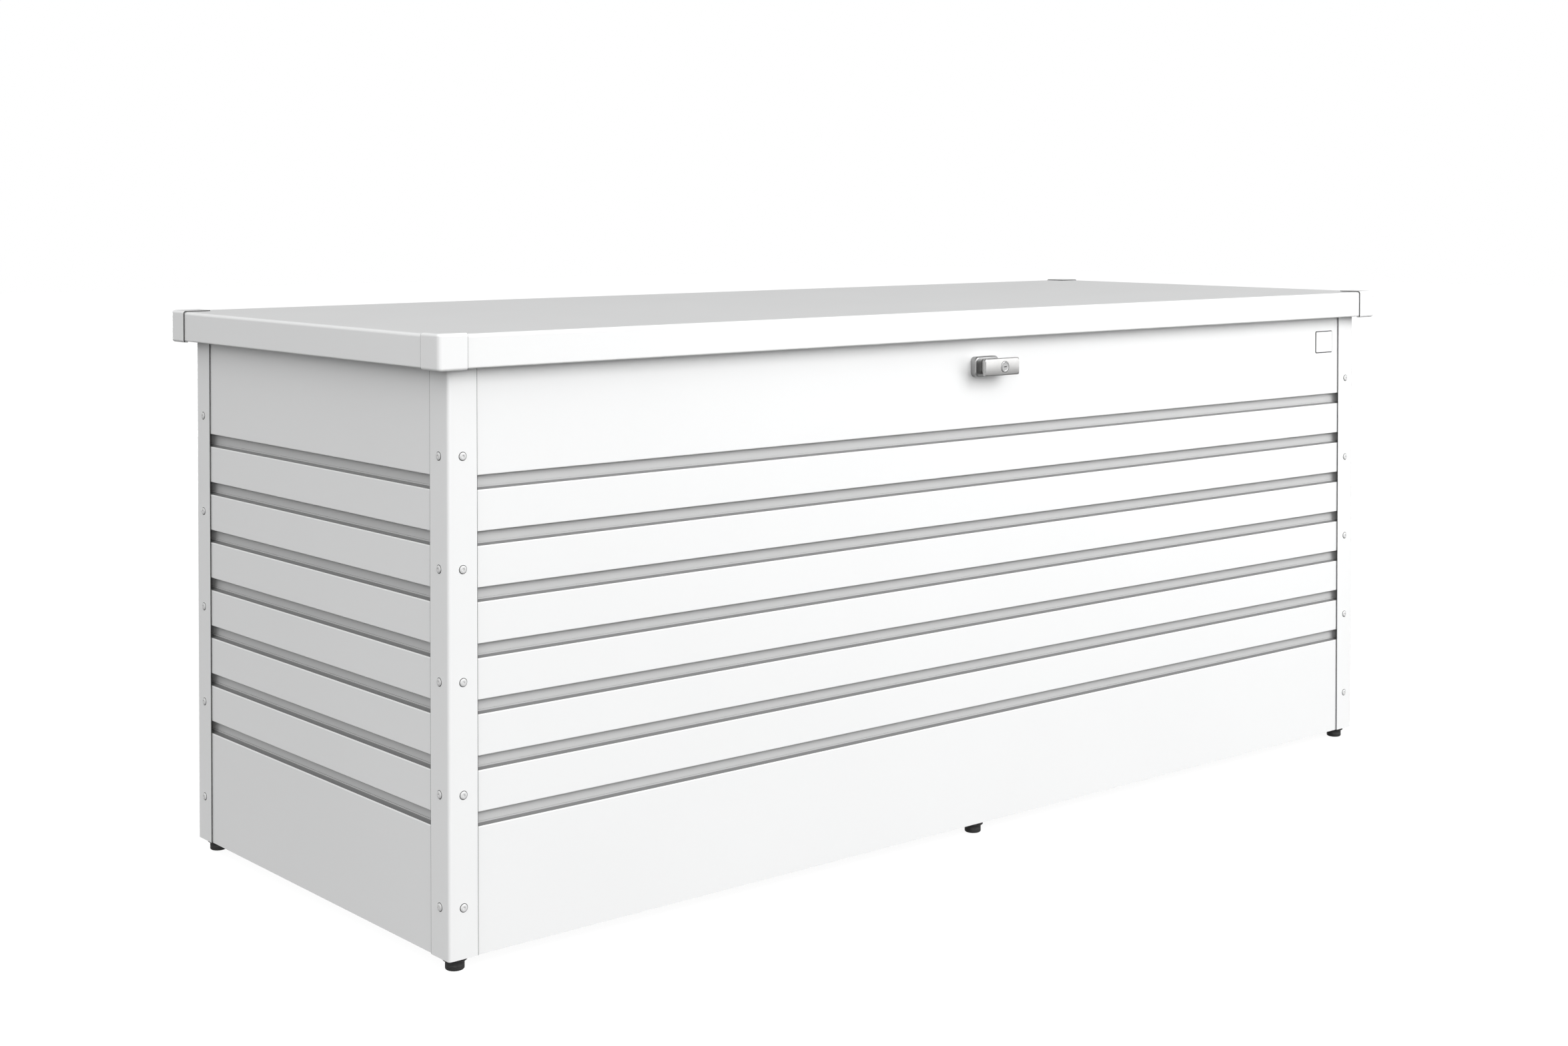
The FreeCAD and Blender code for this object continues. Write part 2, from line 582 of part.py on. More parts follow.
def make_lid_caps():
    """Corner caps that hook over the lid's corners, the same moulding turned to each corner."""
    side = "(lid_overlap_side + cap_proud)"
    end = "(lid_overlap_front + cap_proud)"
    height = "(lid_height + cap_rise + cap_drop)"
    for name, sign_x, sign_y, degrees in CORNERS:
        outer = block(f"cap_{name}_outer", ("cap_leg", "cap_leg", height), ("0", "0", "0"))
        doc.recompute()
        total = number_of(height)
        shape = filleted(f"cap_{name}_rounded", outer, [
            (lambda middle, edge: is_upright(edge) and middle.x < 1 and middle.y < 1,
             "cap_corner_radius"),
            (lambda middle, edge: not is_upright(edge) and min(middle.x, middle.y) < 1
             and (middle.z < 1 or middle.z > total - 1), "cap_edge_radius")])
        thickness = "(cap_proud - cap_play)"
        sheet_space = block(f"cap_{name}_lid_space",
                            ("cap_leg", "cap_leg", "lid_height + 2*cap_play"),
                            (thickness, thickness, "cap_drop - cap_play"))
        edge_radius = f"cap_edge_radius - {thickness}"
        low = number_of("cap_drop - cap_play")
        high = number_of("cap_drop + lid_height + cap_play")
        wall_at = number_of(thickness)
        lid_space = filleted(f"cap_{name}_lid_space_rounded", sheet_space, [
            (lambda middle, edge: is_upright(edge) and abs(middle.x - wall_at) < NEAR
             and abs(middle.y - wall_at) < NEAR, f"cap_corner_radius - {thickness}"),
            (lambda middle, edge: not is_upright(edge) and (abs(middle.x - wall_at) < NEAR
             or abs(middle.y - wall_at) < NEAR) and (abs(middle.z - low) < NEAR
             or abs(middle.z - high) < NEAR), edge_radius)])
        mouth = block(f"cap_{name}_mouth", ("cap_leg", "cap_leg", "cap_drop + 2*overshoot"),
                      ("cap_lip", "cap_lip", "-overshoot"))
        hooked = cut(f"cap_{name}_hooked", shape, lid_space)
        cap = keep(cut(f"cap_{name}", hooked, mouth), "lid_cap_" + name)
        place(cap, f"{sign_x}*(body_width/2 + {side})",
              f"{MIDDLE_Y} + {sign_y}*(body_depth/2 + {end})",
              "foot_height + lid_bottom - cap_drop", turn(Z_AXIS, degrees))


def make_lid_stiffeners():
    """Hat sections under the lid from front to rear, crown down."""
    half = "stiffener_width/2"
    crown = "stiffener_crown/2"
    top = "stiffener_height"
    hat = [(f"-{half}", f"{top} - steel"), (f"-{crown}", f"{top} - steel"), (f"-{crown}", "0"),
           (crown, "0"), (crown, f"{top} - steel"), (half, f"{top} - steel"), (half, top),
           (f"{crown} - steel", top), (f"{crown} - steel", "steel"), (f"-{crown} + steel", "steel"),
           (f"-{crown} + steel", top), (f"-{half}", top)]
    length = "(body_depth + 2*(lid_overlap_front - stiffener_end_gap))"
    for name, x in (("left", f"-{STIFFENER_X}"), ("middle", "0"), ("right", STIFFENER_X)):
        rib = prism("lid_stiffener_" + name, "XZ_Plane", hat, length)
        place(rib, x, f"{FRONT} - lid_overlap_front + stiffener_end_gap", STIFFENER_Z)


def make_lid_buffers():
    """Rubber buffers on the front and rear rails, under the three stiffeners."""
    height = f"({STIFFENER_Z} - foot_height - wall_height - buffer_play)"
    radius = "(rail_depth/2)"
    seed = turned("buffer_seed", rounded([("0", "0"), (radius, "0"), (radius, height, "buffer_edge_radius"),
                                          ("0", height)]))
    level = "foot_height + wall_height"
    rows = (f"{FRONT} + panel_inset + steel + rail_depth/2", f"{REAR} - panel_inset - steel - rail_depth/2")
    columns = (f"-{STIFFENER_X}", "0", STIFFENER_X)
    group("lid_buffers", seed, [spot(x, y, level) for x in columns for y in rows])


# ---- hinges ------------------------------------------------------------------------------------

HINGES = (("left", "-hinge_spacing"), ("middle", "0"), ("right", "hinge_spacing"))


def knuckle(body, start, name):
    """A hinge knuckle about the body's X axis, its bore cut later."""
    radius = "knuckle_radius"
    sketch = new_sketch(body, "YZ_Plane", name + "_outline")
    draw_circle(sketch, "0", "0", radius)
    bind(sketch, "AttachmentOffset.Base.z", start)
    feature = body.newObject("PartDesign::Pad", f"{body.Name}_{name}")
    feature.Profile = sketch
    bind(feature, "Length", "knuckle_length")
    return feature


def make_hinges():
    """Butt hinges: wall leaf with two knuckles, lid leaf with one, and a pin through them."""
    bore = "(pin_radius + pin_play)"
    total = "(3*knuckle_length + 2*knuckle_gap)"
    ends = (f"-{total}/2", f"{total}/2 - knuckle_length")
    wall_face = "(hinge_behind + panel_inset)"
    wall_outer = f"(leaf_steel - {wall_face})"
    lid_face = "(lid_overlap_front - steel - hinge_behind)"
    lid_inner = f"({lid_face} - leaf_steel)"
    arm_top = "(arm_offset + leaf_steel)"
    screw_row = "(wall_leaf_screw - wall_leaf_height)"
    columns = [f"{column}*leaf_screw_spacing" for column in (-1, 0, 1)]
    wall_arm = [(f"-{wall_face}", "-wall_leaf_height"), (wall_outer, "-wall_leaf_height"),
                (wall_outer, f"-{arm_top}"), ("0", f"-{arm_top}"), ("0", "-arm_offset"),
                (f"-{wall_face}", "-arm_offset")]
    wall_plate = [(f"-{wall_face}", "-wall_leaf_height"), (wall_outer, "-wall_leaf_height"),
                  (wall_outer, "-leaf_clear"), (f"-{wall_face}", "-leaf_clear")]
    lid_arm = [("0", "arm_offset"), (lid_inner, "arm_offset"), (lid_face, "arm_offset"),
               (lid_face, "lid_leaf_height"), (lid_inner, "lid_leaf_height"), (lid_inner, arm_top),
               ("0", arm_top)]
    lid_plate = [(lid_inner, "leaf_clear"), (lid_face, "leaf_clear"), (lid_face, "lid_leaf_height"),
                 (lid_inner, "lid_leaf_height")]
    for name, x in HINGES:
        fixed = new_body(f"hinge_{name}_wall_leaf")
        for index, start in enumerate(ends):
            pad(fixed, "YZ_Plane", wall_arm, "knuckle_length", f"arm_{index}", start=start)
            knuckle(fixed, start, f"knuckle_{index}")
        pad(fixed, "YZ_Plane", wall_plate, total, "plate", centred=True)
        fixed.Tip = pocket(fixed, "YZ_Plane", f"{total} + overshoot", "bore",
                           circles=[("0", "0", bore)])
        fixed.Tip = pocket(fixed, "XZ_Plane", f"2*{wall_face} + overshoot", "screw_holes",
                           circles=[(column, screw_row, SCREW_HOLE) for column in columns])
        place(keep(fixed, f"hinge_{name}_wall_leaf"), x, HINGE_Y, HINGE_Z)
        moving = new_body(f"hinge_{name}_lid_leaf")
        pad(moving, "YZ_Plane", lid_arm, "knuckle_length", "arm", start="-knuckle_length/2")
        knuckle(moving, "-knuckle_length/2", "knuckle")
        pad(moving, "YZ_Plane", lid_plate, total, "plate", centred=True)
        moving.Tip = pocket(moving, "YZ_Plane", f"{total} + overshoot", "bore",
                            circles=[("0", "0", bore)])
        place(keep(moving, f"hinge_{name}_lid_leaf"), x, HINGE_Y, HINGE_Z)
    head_end = f"(-{total}/2 - knuckle_gap)"
    pin = turned("hinge_pin_seed", [
        ("0", f"{head_end} - pin_head_height"), ("pin_head_radius", f"{head_end} - pin_head_height"),
        ("pin_head_radius", head_end), ("pin_radius", head_end),
        ("pin_radius", f"{total}/2 + overshoot"), ("0", f"{total}/2 + overshoot")])
    group("hinge_pins", pin, [spot(x, HINGE_Y, HINGE_Z, along(X_AXIS)) for name, x in HINGES])
    screw = turned("hinge_screw_seed", [
        ("0", "-leaf_steel"), ("screw_shank_radius", "-leaf_steel"), ("screw_shank_radius", "0"),
        ("leaf_screw_radius", "0"), ("leaf_screw_radius", "leaf_screw_height/3"),
        ("0.7*leaf_screw_radius", "leaf_screw_height"), ("0", "leaf_screw_height")])
    group("hinge_screws", screw, [
        spot(f"{x} + {column}", f"{HINGE_Y} + {wall_outer}", f"{HINGE_Z} + {screw_row}", along(Y_AXIS))
        for name, x in HINGES for column in columns])


# ---- turn handle and lock ------------------------------------------------------------------------

def drilled(label, shape, holes):
    """Cut round holes along Y: each is x, start y, z, radius and length."""
    for index, (x, y, z, radius, length) in enumerate(holes):
        tool = doc.addObject("Part::Cylinder", f"{label}_hole_{index}")
        bind(tool, "Radius", radius)
        bind(tool, "Height", length)
        place(tool, x, y, z, along(Y_AXIS))
        shape = cut(f"{label}_drilled_{index}", shape, tool)
    return shape


def runs_along_y(edge):
    return abs(edge.tangentAt(edge.FirstParameter).y) > 0.99


def make_rosette():
    """The base of the handle, on the face of the front wall."""
    front = f"({WALL_FACE} - rosette_depth)"
    front_y = number_of(front)
    base = block("rosette_block", ("rosette_width", "rosette_depth", "rosette_height"),
                 ("-rosette_width/2", front, f"{HANDLE_Z} - rosette_height/2"))
    shape = filleted("rosette_rounded", base, [
        (lambda middle, edge: runs_along_y(edge), "rosette_radius"),
        (lambda middle, edge: abs(middle.y - front_y) < NEAR, "rosette_edge")])
    keep(drilled("rosette", shape, [
        ("0", f"{front} - overshoot", HANDLE_Z, "spindle_radius + spindle_play",
         "rosette_depth + 2*overshoot")]), "handle_rosette")


def make_grip():
    """A wide bar on a short neck, drilled for the spindle and for the lock barrel."""
    front = f"({FRONT} - handle_reach)"
    front_y = number_of(front)
    bar = block("grip_bar_block", ("grip_left + grip_right", "grip_depth", "grip_height"),
                ("-grip_left", front, f"{HANDLE_Z} - grip_height/2"))
    bar = filleted("grip_bar", bar, [
        (lambda middle, edge: abs(middle.y - front_y) < NEAR or runs_along_y(edge), "grip_radius")])
    neck_start = f"({front} + grip_depth - overshoot)"
    neck_end = f"({WALL_FACE} - rosette_depth - handle_play)"
    neck = block("grip_neck_block", ("neck_width", f"{neck_end} - {neck_start}", "neck_height"),
                 ("-neck_width/2", neck_start, f"{HANDLE_Z} - neck_height/2"))
    neck = filleted("grip_neck", neck, [
        (lambda middle, edge: runs_along_y(edge), "neck_radius")])
    whole = doc.addObject("Part::Fuse", "grip_whole")
    whole.Base = bar
    whole.Tool = neck
    keep(drilled("grip", whole, [
        ("0", SPINDLE_START, HANDLE_Z, "spindle_radius", f"{neck_end} - {SPINDLE_START} + overshoot"),
        ("barrel_offset", f"{front} - overshoot", HANDLE_Z, "barrel_radius",
         "overshoot + barrel_depth - barrel_proud")]), "handle_grip")


def make_spindle():
    """The spindle from the grip through the wall to the crank disc, and its bearing inside."""
    shoulder = f"({FRONT} + cam_level - eye_gap/2 - {SPINDLE_START})"
    end = f"({FRONT} + cam_level + cam_steel - {SPINDLE_START})"
    spindle = turned("spindle", [
        ("0", "0"), ("spindle_radius", "0"), ("spindle_radius", shoulder),
        ("spindle_end_radius", shoulder), ("spindle_end_radius", end), ("0", end)])
    place(keep(spindle, "handle_spindle"), "0", SPINDLE_START, HANDLE_Z, along(Y_AXIS))
    bore = "spindle_radius + spindle_play"
    housing = turned("housing", [
        (bore, "0"), ("housing_radius", "0"), ("housing_radius", "housing_flange"),
        ("housing_neck_radius", "housing_flange"), ("housing_neck_radius", "housing_depth"),
        (bore, "housing_depth")])
    place(keep(housing, "spindle_housing"), "0", f"{WALL_FACE} + steel", HANDLE_Z, along(Y_AXIS))


def make_lock_cylinder():
    """Lock barrel in the grip and the keyed plug that turns in it."""
    front = f"({FRONT} - handle_reach - barrel_proud)"
    barrel = turned("barrel", rounded([
        ("plug_radius + pin_play", "0"), ("barrel_radius", "0", "barrel_edge_radius"),
        ("barrel_radius", "barrel_depth"),
        ("plug_radius + pin_play", "barrel_depth")]))
    place(keep(barrel, "lock_barrel"), "barrel_offset", front, HANDLE_Z, along(Y_AXIS))
    plug_end = "barrel_depth - handle_play"
    plug = turned("plug", [("0", "0"), ("plug_radius", "0"), ("plug_radius", plug_end), ("0", plug_end)])
    plug.Tip = pocket(plug, "XY_Plane", "2*keyway_depth", "keyway",
                      outline=rectangle("-keyway_length/2", "-keyway_width/2", "keyway_length/2",
                                        "keyway_width/2"))
    place(keep(plug, "lock_plug"), "barrel_offset", front, HANDLE_Z, along(Y_AXIS))


def make_lock_cam():
    """Crank disc on the spindle with two pins, the upper one to the left, the lower to the right."""
    body = new_body("lock_cam")
    radius = "cam_radius"
    sketch = new_sketch(body, "XZ_Plane", "disc_outline")
    draw_circle(sketch, "0", "0", radius)
    disc = body.newObject("PartDesign::Pad", "lock_cam_disc")
    disc.Profile = sketch
    bind(disc, "Length", "cam_steel")
    disc.Reversed = True
    pins = new_sketch(body, "XZ_Plane", "pin_outline")
    reach = f"crank_radius*{math.sqrt(0.5)}"
    draw_circle(pins, f"-{reach}", reach, "crank_pin_radius")
    draw_circle(pins, reach, f"-{reach}", "crank_pin_radius")
    studs = body.newObject("PartDesign::Pad", "lock_cam_pins")
    studs.Profile = pins
    bind(studs, "Length", "cam_steel + crank_pin_length")
    studs.Reversed = True
    body.Tip = pocket(body, "XZ_Plane", "4*cam_steel", "bore", circles=[
        ("0", "0", "spindle_end_radius")])
    place(keep(body, "lock_cam"), "0", f"{FRONT} + cam_level", HANDLE_Z)


def make_lock_rods():
    """Flat rods whose slotted yokes ride on the crank pins; the right one is the left one turned."""
    reach = f"crank_radius*{math.sqrt(0.5)}"
    low = "(-rod_drop - rod_height/2)"
    high = "(-rod_drop + rod_height/2)"
    yoke_near = f"({reach} - yoke_width/2)"
    yoke_far = f"({reach} + yoke_width/2)"
    slot_side = "(crank_pin_radius + yoke_play)"
    slot_top = f"(-{reach} + {slot_side})"
    slot_bottom = f"(-crank_radius - {slot_side})"
    yoke_top = f"({slot_top} + yoke_rim)"
    yoke_bottom = f"({slot_bottom} - yoke_rim)"
    outline = [("-rod_tip", low), (yoke_near, low), (yoke_near, yoke_bottom), (yoke_far, yoke_bottom),
               (yoke_far, yoke_top), (yoke_near, yoke_top), (yoke_near, high), ("-rod_tip", high)]
    for name, degrees in (("left", 0), ("right", 180)):
        body = new_body(name + "_lock_rod")
        pad(body, "XZ_Plane", outline, "rod_steel", "bar")
        body.Tip = pocket(body, "XZ_Plane", "4*rod_steel", "slot", outline=rectangle(
            f"{reach} - {slot_side}", slot_bottom, f"{reach} + {slot_side}", slot_top))
        place(keep(body, name + "_lock_rod"), "0", f"{FRONT} + rod_level", HANDLE_Z,
              turn(Y_AXIS, degrees))


def make_rod_guides():
    """Angle brackets on the front wall with a window for the rod, two for each rod."""
    body = new_body("guide_seed")
    wall_at = "(panel_inset + steel)"
    web_end = "(rod_level + rod_steel + guide_margin)"
    half = "(rod_height/2 + guide_margin)"
    pad(body, "YZ_Plane", rectangle(wall_at, f"-{half}", web_end, half), "guide_steel", "web",
        centred=True)
    pad(body, "YZ_Plane", rectangle(wall_at, f"-{half}", f"{wall_at} + guide_foot_steel", half),
        "guide_foot_width", "foot", centred=True)
    body.Tip = pocket(body, "YZ_Plane", "4*guide_steel", "window", outline=rectangle(
        "rod_level - guide_play", "-rod_height/2 - guide_play",
        "rod_level + rod_steel + guide_play", "rod_height/2 + guide_play"))
    group("rod_guides", body, [
        spot(f"{side}*{x}", FRONT, f"{HANDLE_Z} + {side}*rod_drop")
        for side in (-1, 1) for x in ("guide_inner", "guide_outer")])


def make_catches():
    """Keeper plates that hang from the lid, each with a window for the tip of its rod."""
    top = f"({STIFFENER_Z} - {HANDLE_Z})"
    window_half = "(rod_height/2 + catch_play_z)"
    for name, side in (("left", -1), ("right", 1)):
        body = new_body(name + "_catch")
        level = f"({side}*rod_drop)"
        lowest = f"(catch_bottom - handle_level + rod_drop + {level})"
        pad(body, "YZ_Plane", rectangle("catch_front", lowest, "catch_rear", top), "guide_steel",
            "plate")
        pad(body, "YZ_Plane", rectangle("catch_front", f"{top} - guide_steel", "catch_rear", top),
            "catch_flange", "flange", start="0" if side < 0 else "guide_steel - catch_flange")
        body.Tip = pocket(body, "YZ_Plane", "4*guide_steel", "window", outline=rectangle(
            "rod_level - catch_play_y", f"{level} - {window_half}",
            "rod_level + rod_steel + catch_play_y", f"{level} + {window_half}"))
        x = "-rod_tip - catch_gap - guide_steel" if side < 0 else "rod_tip + catch_gap"
        place(keep(body, name + "_catch"), x, FRONT, HANDLE_Z)


# ---- gas springs -----------------------------------------------------------------------------------

def make_gas_springs():
    """Gas springs at both ends: tube on a pivot on the wall, rod that slides out to the lid."""
    low = FreeCAD.Vector(0, number_of("spring_low_y"), number_of("spring_low_z"))
    high = FreeCAD.Vector(0, number_of("spring_high_y"), number_of("spring_high_z"))
    length = "(((spring_high_y - spring_low_y)^2 + (spring_high_z - spring_low_z)^2)^0.5)"
    lean = along(high - low)
    edge = "spring_edge_radius"
    bore = "spring_rod_radius + pin_play"
    base = (f"{FRONT} + spring_low_y", "foot_height + spring_low_z")
    for side, sign in (("left", -1), ("right", 1)):
        x = f"{sign}*(body_width/2 - spring_inset)"
        tube = turned(f"spring_{side}_tube", rounded([
            ("0", "spring_tube_start"), ("spring_tube_radius", "spring_tube_start", edge),
            ("spring_tube_radius", "spring_tube_end", edge), (bore, "spring_tube_end"),
            (bore, "spring_bore_start"), ("0", "spring_bore_start")]))
        pad(tube, "YZ_Plane", rectangle("-spring_tube_radius", "-spring_tube_radius",
                                        "spring_tube_radius", "spring_tube_start + overshoot",
                                        "spring_eye_radius"),
            "spring_eye_width", "eye", centred=True)
        tube.Tip = pocket(tube, "YZ_Plane", "2*spring_eye_width", "eye_bore", circles=[
            ("0", "0", "spring_pin_radius + pin_play")])
        place(keep(tube, f"gas_spring_{side}_tube"), x, *base, lean)
        rod = turned(f"spring_{side}_rod", [
            ("0", "spring_rod_start"), ("spring_rod_radius", "spring_rod_start"),
            ("spring_rod_radius", length), ("0", length)])
        pad(rod, "YZ_Plane", rectangle("-spring_eye_half", f"{length} - spring_eye_half",
                                       "spring_eye_half", f"{length} + spring_eye_half",
                                       "spring_eye_radius"),
            "spring_eye_width", "eye", centred=True)
        place(keep(rod, f"gas_spring_{side}_rod"), x, *base, lean)
        make_wall_bracket(side, sign)
        make_lid_bracket(side, sign)


def make_wall_bracket(side, sign):
    """A plate across two groove backs, with a boss and a headed pin for the tube's eye."""
    wall_side = "(panel_inset + groove_depth + steel)"
    eye_near = f"(spring_inset - spring_eye_width/2 - eye_gap - {wall_side})"
    eye_far = f"(spring_inset + spring_eye_width/2 + eye_gap - {wall_side})"
    bracket = turned(f"spring_{side}_lower", [
        ("0", "0"), ("spring_pin_radius", "0"), ("spring_pin_radius", eye_far),
        ("pivot_head_radius", eye_far), ("pivot_head_radius", f"{eye_far} + pivot_head_height"),
        ("0", f"{eye_far} + pivot_head_height")])
    pad(bracket, "XY_Plane", rectangle("-bracket_half", "-bracket_drop", "bracket_half",
                                       "bracket_rise", "bracket_radius"), "bracket_steel", "plate")
    pad(bracket, "XY_Plane", rectangle("-boss_half", "-boss_half", "boss_half", "boss_half",
                                       "bracket_radius"), eye_near, "boss")
    upright = FreeCAD.Rotation(FreeCAD.Vector(0, sign, 0), Z_AXIS, FreeCAD.Vector(-sign, 0, 0), "ZYX")
    place(keep(bracket, f"{side}_lower_spring_bracket"), f"{sign}*(body_width/2 - {wall_side})",
          f"{FRONT} + spring_low_y", "foot_height + spring_low_z", upright)


def make_lid_bracket(side, sign):
    """An angle under the lid's stiffener, its pin ending beside the eye of the rod."""
    top = f"({STIFFENER_Z} - foot_height - spring_high_z)"
    bracket = new_body(f"spring_{side}_upper")
    pad(bracket, "YZ_Plane", rectangle("-bracket_half", "-lid_bracket_drop", "bracket_half", top),
        "bracket_steel", "plate", start="lid_bracket_gap")
    pad(bracket, "YZ_Plane", rectangle("-bracket_half", f"{top} - bracket_steel", "bracket_half", top),
        "lid_bracket_flange", "flange", start="lid_bracket_gap")
    sketch = new_sketch(bracket, "YZ_Plane", "pin_outline")
    draw_circle(sketch, "0", "0", "spring_pin_radius")
    pin = bracket.newObject("PartDesign::Pad", f"{bracket.Name}_pin")
    pin.Profile = sketch
    bind(pin, "Length", "lid_bracket_gap + overshoot")
    place(keep(bracket, f"{side}_upper_spring_bracket"),
          f"{sign}*(body_width/2 - spring_inset - spring_eye_width/2 - eye_gap)",
          f"{FRONT} + spring_high_y", "foot_height + spring_high_z",
          turn(Z_AXIS, 0 if sign < 0 else 180))


# ---- build, test and write ------------------------------------------------------------------------

make_walls()
make_posts()
make_post_screws()
make_top_rails()
make_base_rails()
make_floor_pans()
make_feet()
make_name_plate()
make_lid_shell()
make_lid_caps()
make_lid_stiffeners()
make_lid_buffers()
make_hinges()
make_rosette()
make_grip()
make_spindle()
make_lock_cylinder()
make_lock_cam()
make_lock_rods()
make_rod_guides()
make_catches()
make_gas_springs()
doc.recompute()

for item in doc.Objects:
    if "Invalid" in item.State or "Error" in item.State:
        raise RuntimeError(f"{item.Label} did not recompute: {item.State}")
os.makedirs("parts", exist_ok=True)
for item in parts:
    if item.Shape.isNull() or not item.Shape.isValid():
        raise RuntimeError(f"{item.Label} has no valid shape")
for item in parts:
    item.Shape.exportStep(f"parts/{item.Label}.step")
print(len(parts), "sub-parts written")
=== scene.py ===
import math
import random

import bmesh
import bpy
from mathutils import Matrix, Vector


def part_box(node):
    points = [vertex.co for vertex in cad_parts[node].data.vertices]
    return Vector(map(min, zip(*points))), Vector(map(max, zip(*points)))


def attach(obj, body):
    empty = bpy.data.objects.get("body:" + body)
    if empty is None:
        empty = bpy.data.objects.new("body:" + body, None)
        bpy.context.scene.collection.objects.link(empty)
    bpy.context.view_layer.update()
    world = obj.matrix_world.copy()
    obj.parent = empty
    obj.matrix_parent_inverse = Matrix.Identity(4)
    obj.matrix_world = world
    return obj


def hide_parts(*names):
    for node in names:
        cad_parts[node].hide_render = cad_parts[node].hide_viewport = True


bpy.ops.wm.read_factory_settings(use_empty=True)
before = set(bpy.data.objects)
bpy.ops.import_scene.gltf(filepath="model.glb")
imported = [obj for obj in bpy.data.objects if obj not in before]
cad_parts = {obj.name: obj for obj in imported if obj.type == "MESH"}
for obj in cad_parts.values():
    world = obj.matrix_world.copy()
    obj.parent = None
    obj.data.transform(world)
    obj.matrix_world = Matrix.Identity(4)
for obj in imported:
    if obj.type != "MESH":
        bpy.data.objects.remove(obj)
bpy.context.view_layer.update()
scene = bpy.context.scene


# ---------------------------------------------------------------- node graphs

class Graph:
    """A small writer for one node tree."""

    def __init__(self, tree):
        self.tree = tree
        tree.nodes.clear()

    def add(self, kind, inputs=None, **settings):
        """One node: its settings, then its inputs by name, each a value or another node's output."""
        node = self.tree.nodes.new(kind)
        for name, value in settings.items():
            setattr(node, name, value)
        for name, value in (inputs or {}).items():
            if isinstance(value, bpy.types.NodeSocket):
                self.tree.links.new(value, node.inputs[name])
            else:
                node.inputs[name].default_value = value
        return node

    def sum_up(self, operation, *values):
        """The output of a math node."""
        node = self.add("ShaderNodeMath", operation=operation)
        for socket, value in zip(node.inputs, values):
            if isinstance(value, bpy.types.NodeSocket):
                self.tree.links.new(value, socket)
            else:
                socket.default_value = value
        return node.outputs[0]

    def between(self, value, low, high, start=0.0, end=1.0):
        """Maps a value from start..end to low..high."""
        node = self.add("ShaderNodeMapRange", {
            "Value": value, "From Min": start, "From Max": end, "To Min": low, "To Max": high})
        return node.outputs[0]

    def blend(self, factor, first, second):
        """A mix of two colours."""
        node = self.add("ShaderNodeMix", data_type="RGBA")
        for name, value in (("Factor_Float", factor), ("A_Color", first), ("B_Color", second)):
            socket = next(item for item in node.inputs if item.identifier == name)
            if isinstance(value, bpy.types.NodeSocket):
                self.tree.links.new(value, socket)
            else:
                socket.default_value = value
        return next(item for item in node.outputs if item.identifier == "Result_Color")

    def place(self, stretch=(1, 1, 1)):
        """Object coordinates, in metres in the row frame, stretched along the axes."""
        where = self.add("ShaderNodeTexCoord").outputs["Object"]
        return self.add("ShaderNodeMapping", {"Vector": where, "Scale": stretch}).outputs[0]

    def noise(self, size, detail=2.0, roughness=0.5, stretch=(1, 1, 1)):
        """Noise whose features are about size metres across."""
        node = self.add("ShaderNodeTexNoise", {
            "Vector": self.place(stretch), "Scale": 1.0 / size, "Detail": detail,
            "Roughness": roughness})
        return node.outputs["Fac"]

    def cells(self, size):
        """Flat random grey for each Voronoi cell of about size metres."""
        node = self.add("ShaderNodeTexVoronoi", {"Vector": self.place(), "Scale": 1.0 / size})
        return self.add("ShaderNodeSeparateColor", {"Color": node.outputs["Color"]}).outputs[0]

    def edges(self, radius):
        """1 along the edges of the shape and 0 on its faces."""
        rounded = self.add("ShaderNodeBevel", {"Radius": radius}, samples=4).outputs[0]
        flat = self.add("ShaderNodeNewGeometry").outputs["Normal"]
        alike = self.add("ShaderNodeVectorMath", operation="DOT_PRODUCT")
        self.tree.links.new(rounded, alike.inputs[0])
        self.tree.links.new(flat, alike.inputs[1])
        return self.between(alike.outputs["Value"], 1.0, 0.0, 0.80, 0.99)

    def bump(self, height, depth, strength=1.0, normal=None):
        """A bumped normal; depth is in metres."""
        inputs = {"Height": height, "Distance": depth, "Strength": strength}
        if normal is not None:
            inputs["Normal"] = normal
        return self.add("ShaderNodeBump", inputs).outputs[0]


def grey(value, tint=(1.0, 1.0, 1.0)):
    """A grey, tinted by three factors, with full opacity."""
    return tuple(value * part for part in tint) + (1.0,)


def finish_material(name, build, **fixed):
    """A material with one Principled shader. build wires it; fixed values go straight on its sockets."""
    material = bpy.data.materials.new(name)
    material.use_nodes = True
    graph = Graph(material.node_tree)
    shader = graph.add("ShaderNodeBsdfPrincipled")
    for socket, value in fixed.items():
        shader.inputs[socket.replace("_", " ")].default_value = value
    for socket, output in build(graph).items():
        graph.tree.links.new(output, shader.inputs[socket])
    graph.add("ShaderNodeOutputMaterial", {"Surface": shader.outputs[0]})
    return material


def paint(graph, light, dark, gloss=(0.28, 0.31), peel=0.0011, peel_depth=0.000004):
    """Powder coat: faint cloudy tone, orange peel, and slightly rubbed edges."""
    worn = graph.edges(0.0016)
    cloud = graph.noise(0.35, 3.0)
    tone = graph.blend(graph.between(cloud, 0.0, 1.0, 0.3, 0.7), light, dark)
    rubbed = graph.between(graph.noise(0.012, 4.0), 0.0, 1.0, 0.45, 0.75)
    colour = graph.blend(graph.sum_up("MULTIPLY", worn, graph.sum_up("MULTIPLY", rubbed, 0.35)),
                         tone, grey(0.74))
    rough = graph.between(graph.noise(0.12, 3.0), gloss[0], gloss[1], 0.2, 0.8)
    rough = graph.sum_up("SUBTRACT", rough, graph.sum_up("MULTIPLY", worn, 0.02))
    skin = graph.bump(graph.noise(peel, 2.0), peel_depth)
    return {"Base Color": colour, "Roughness": rough, "Normal": skin}


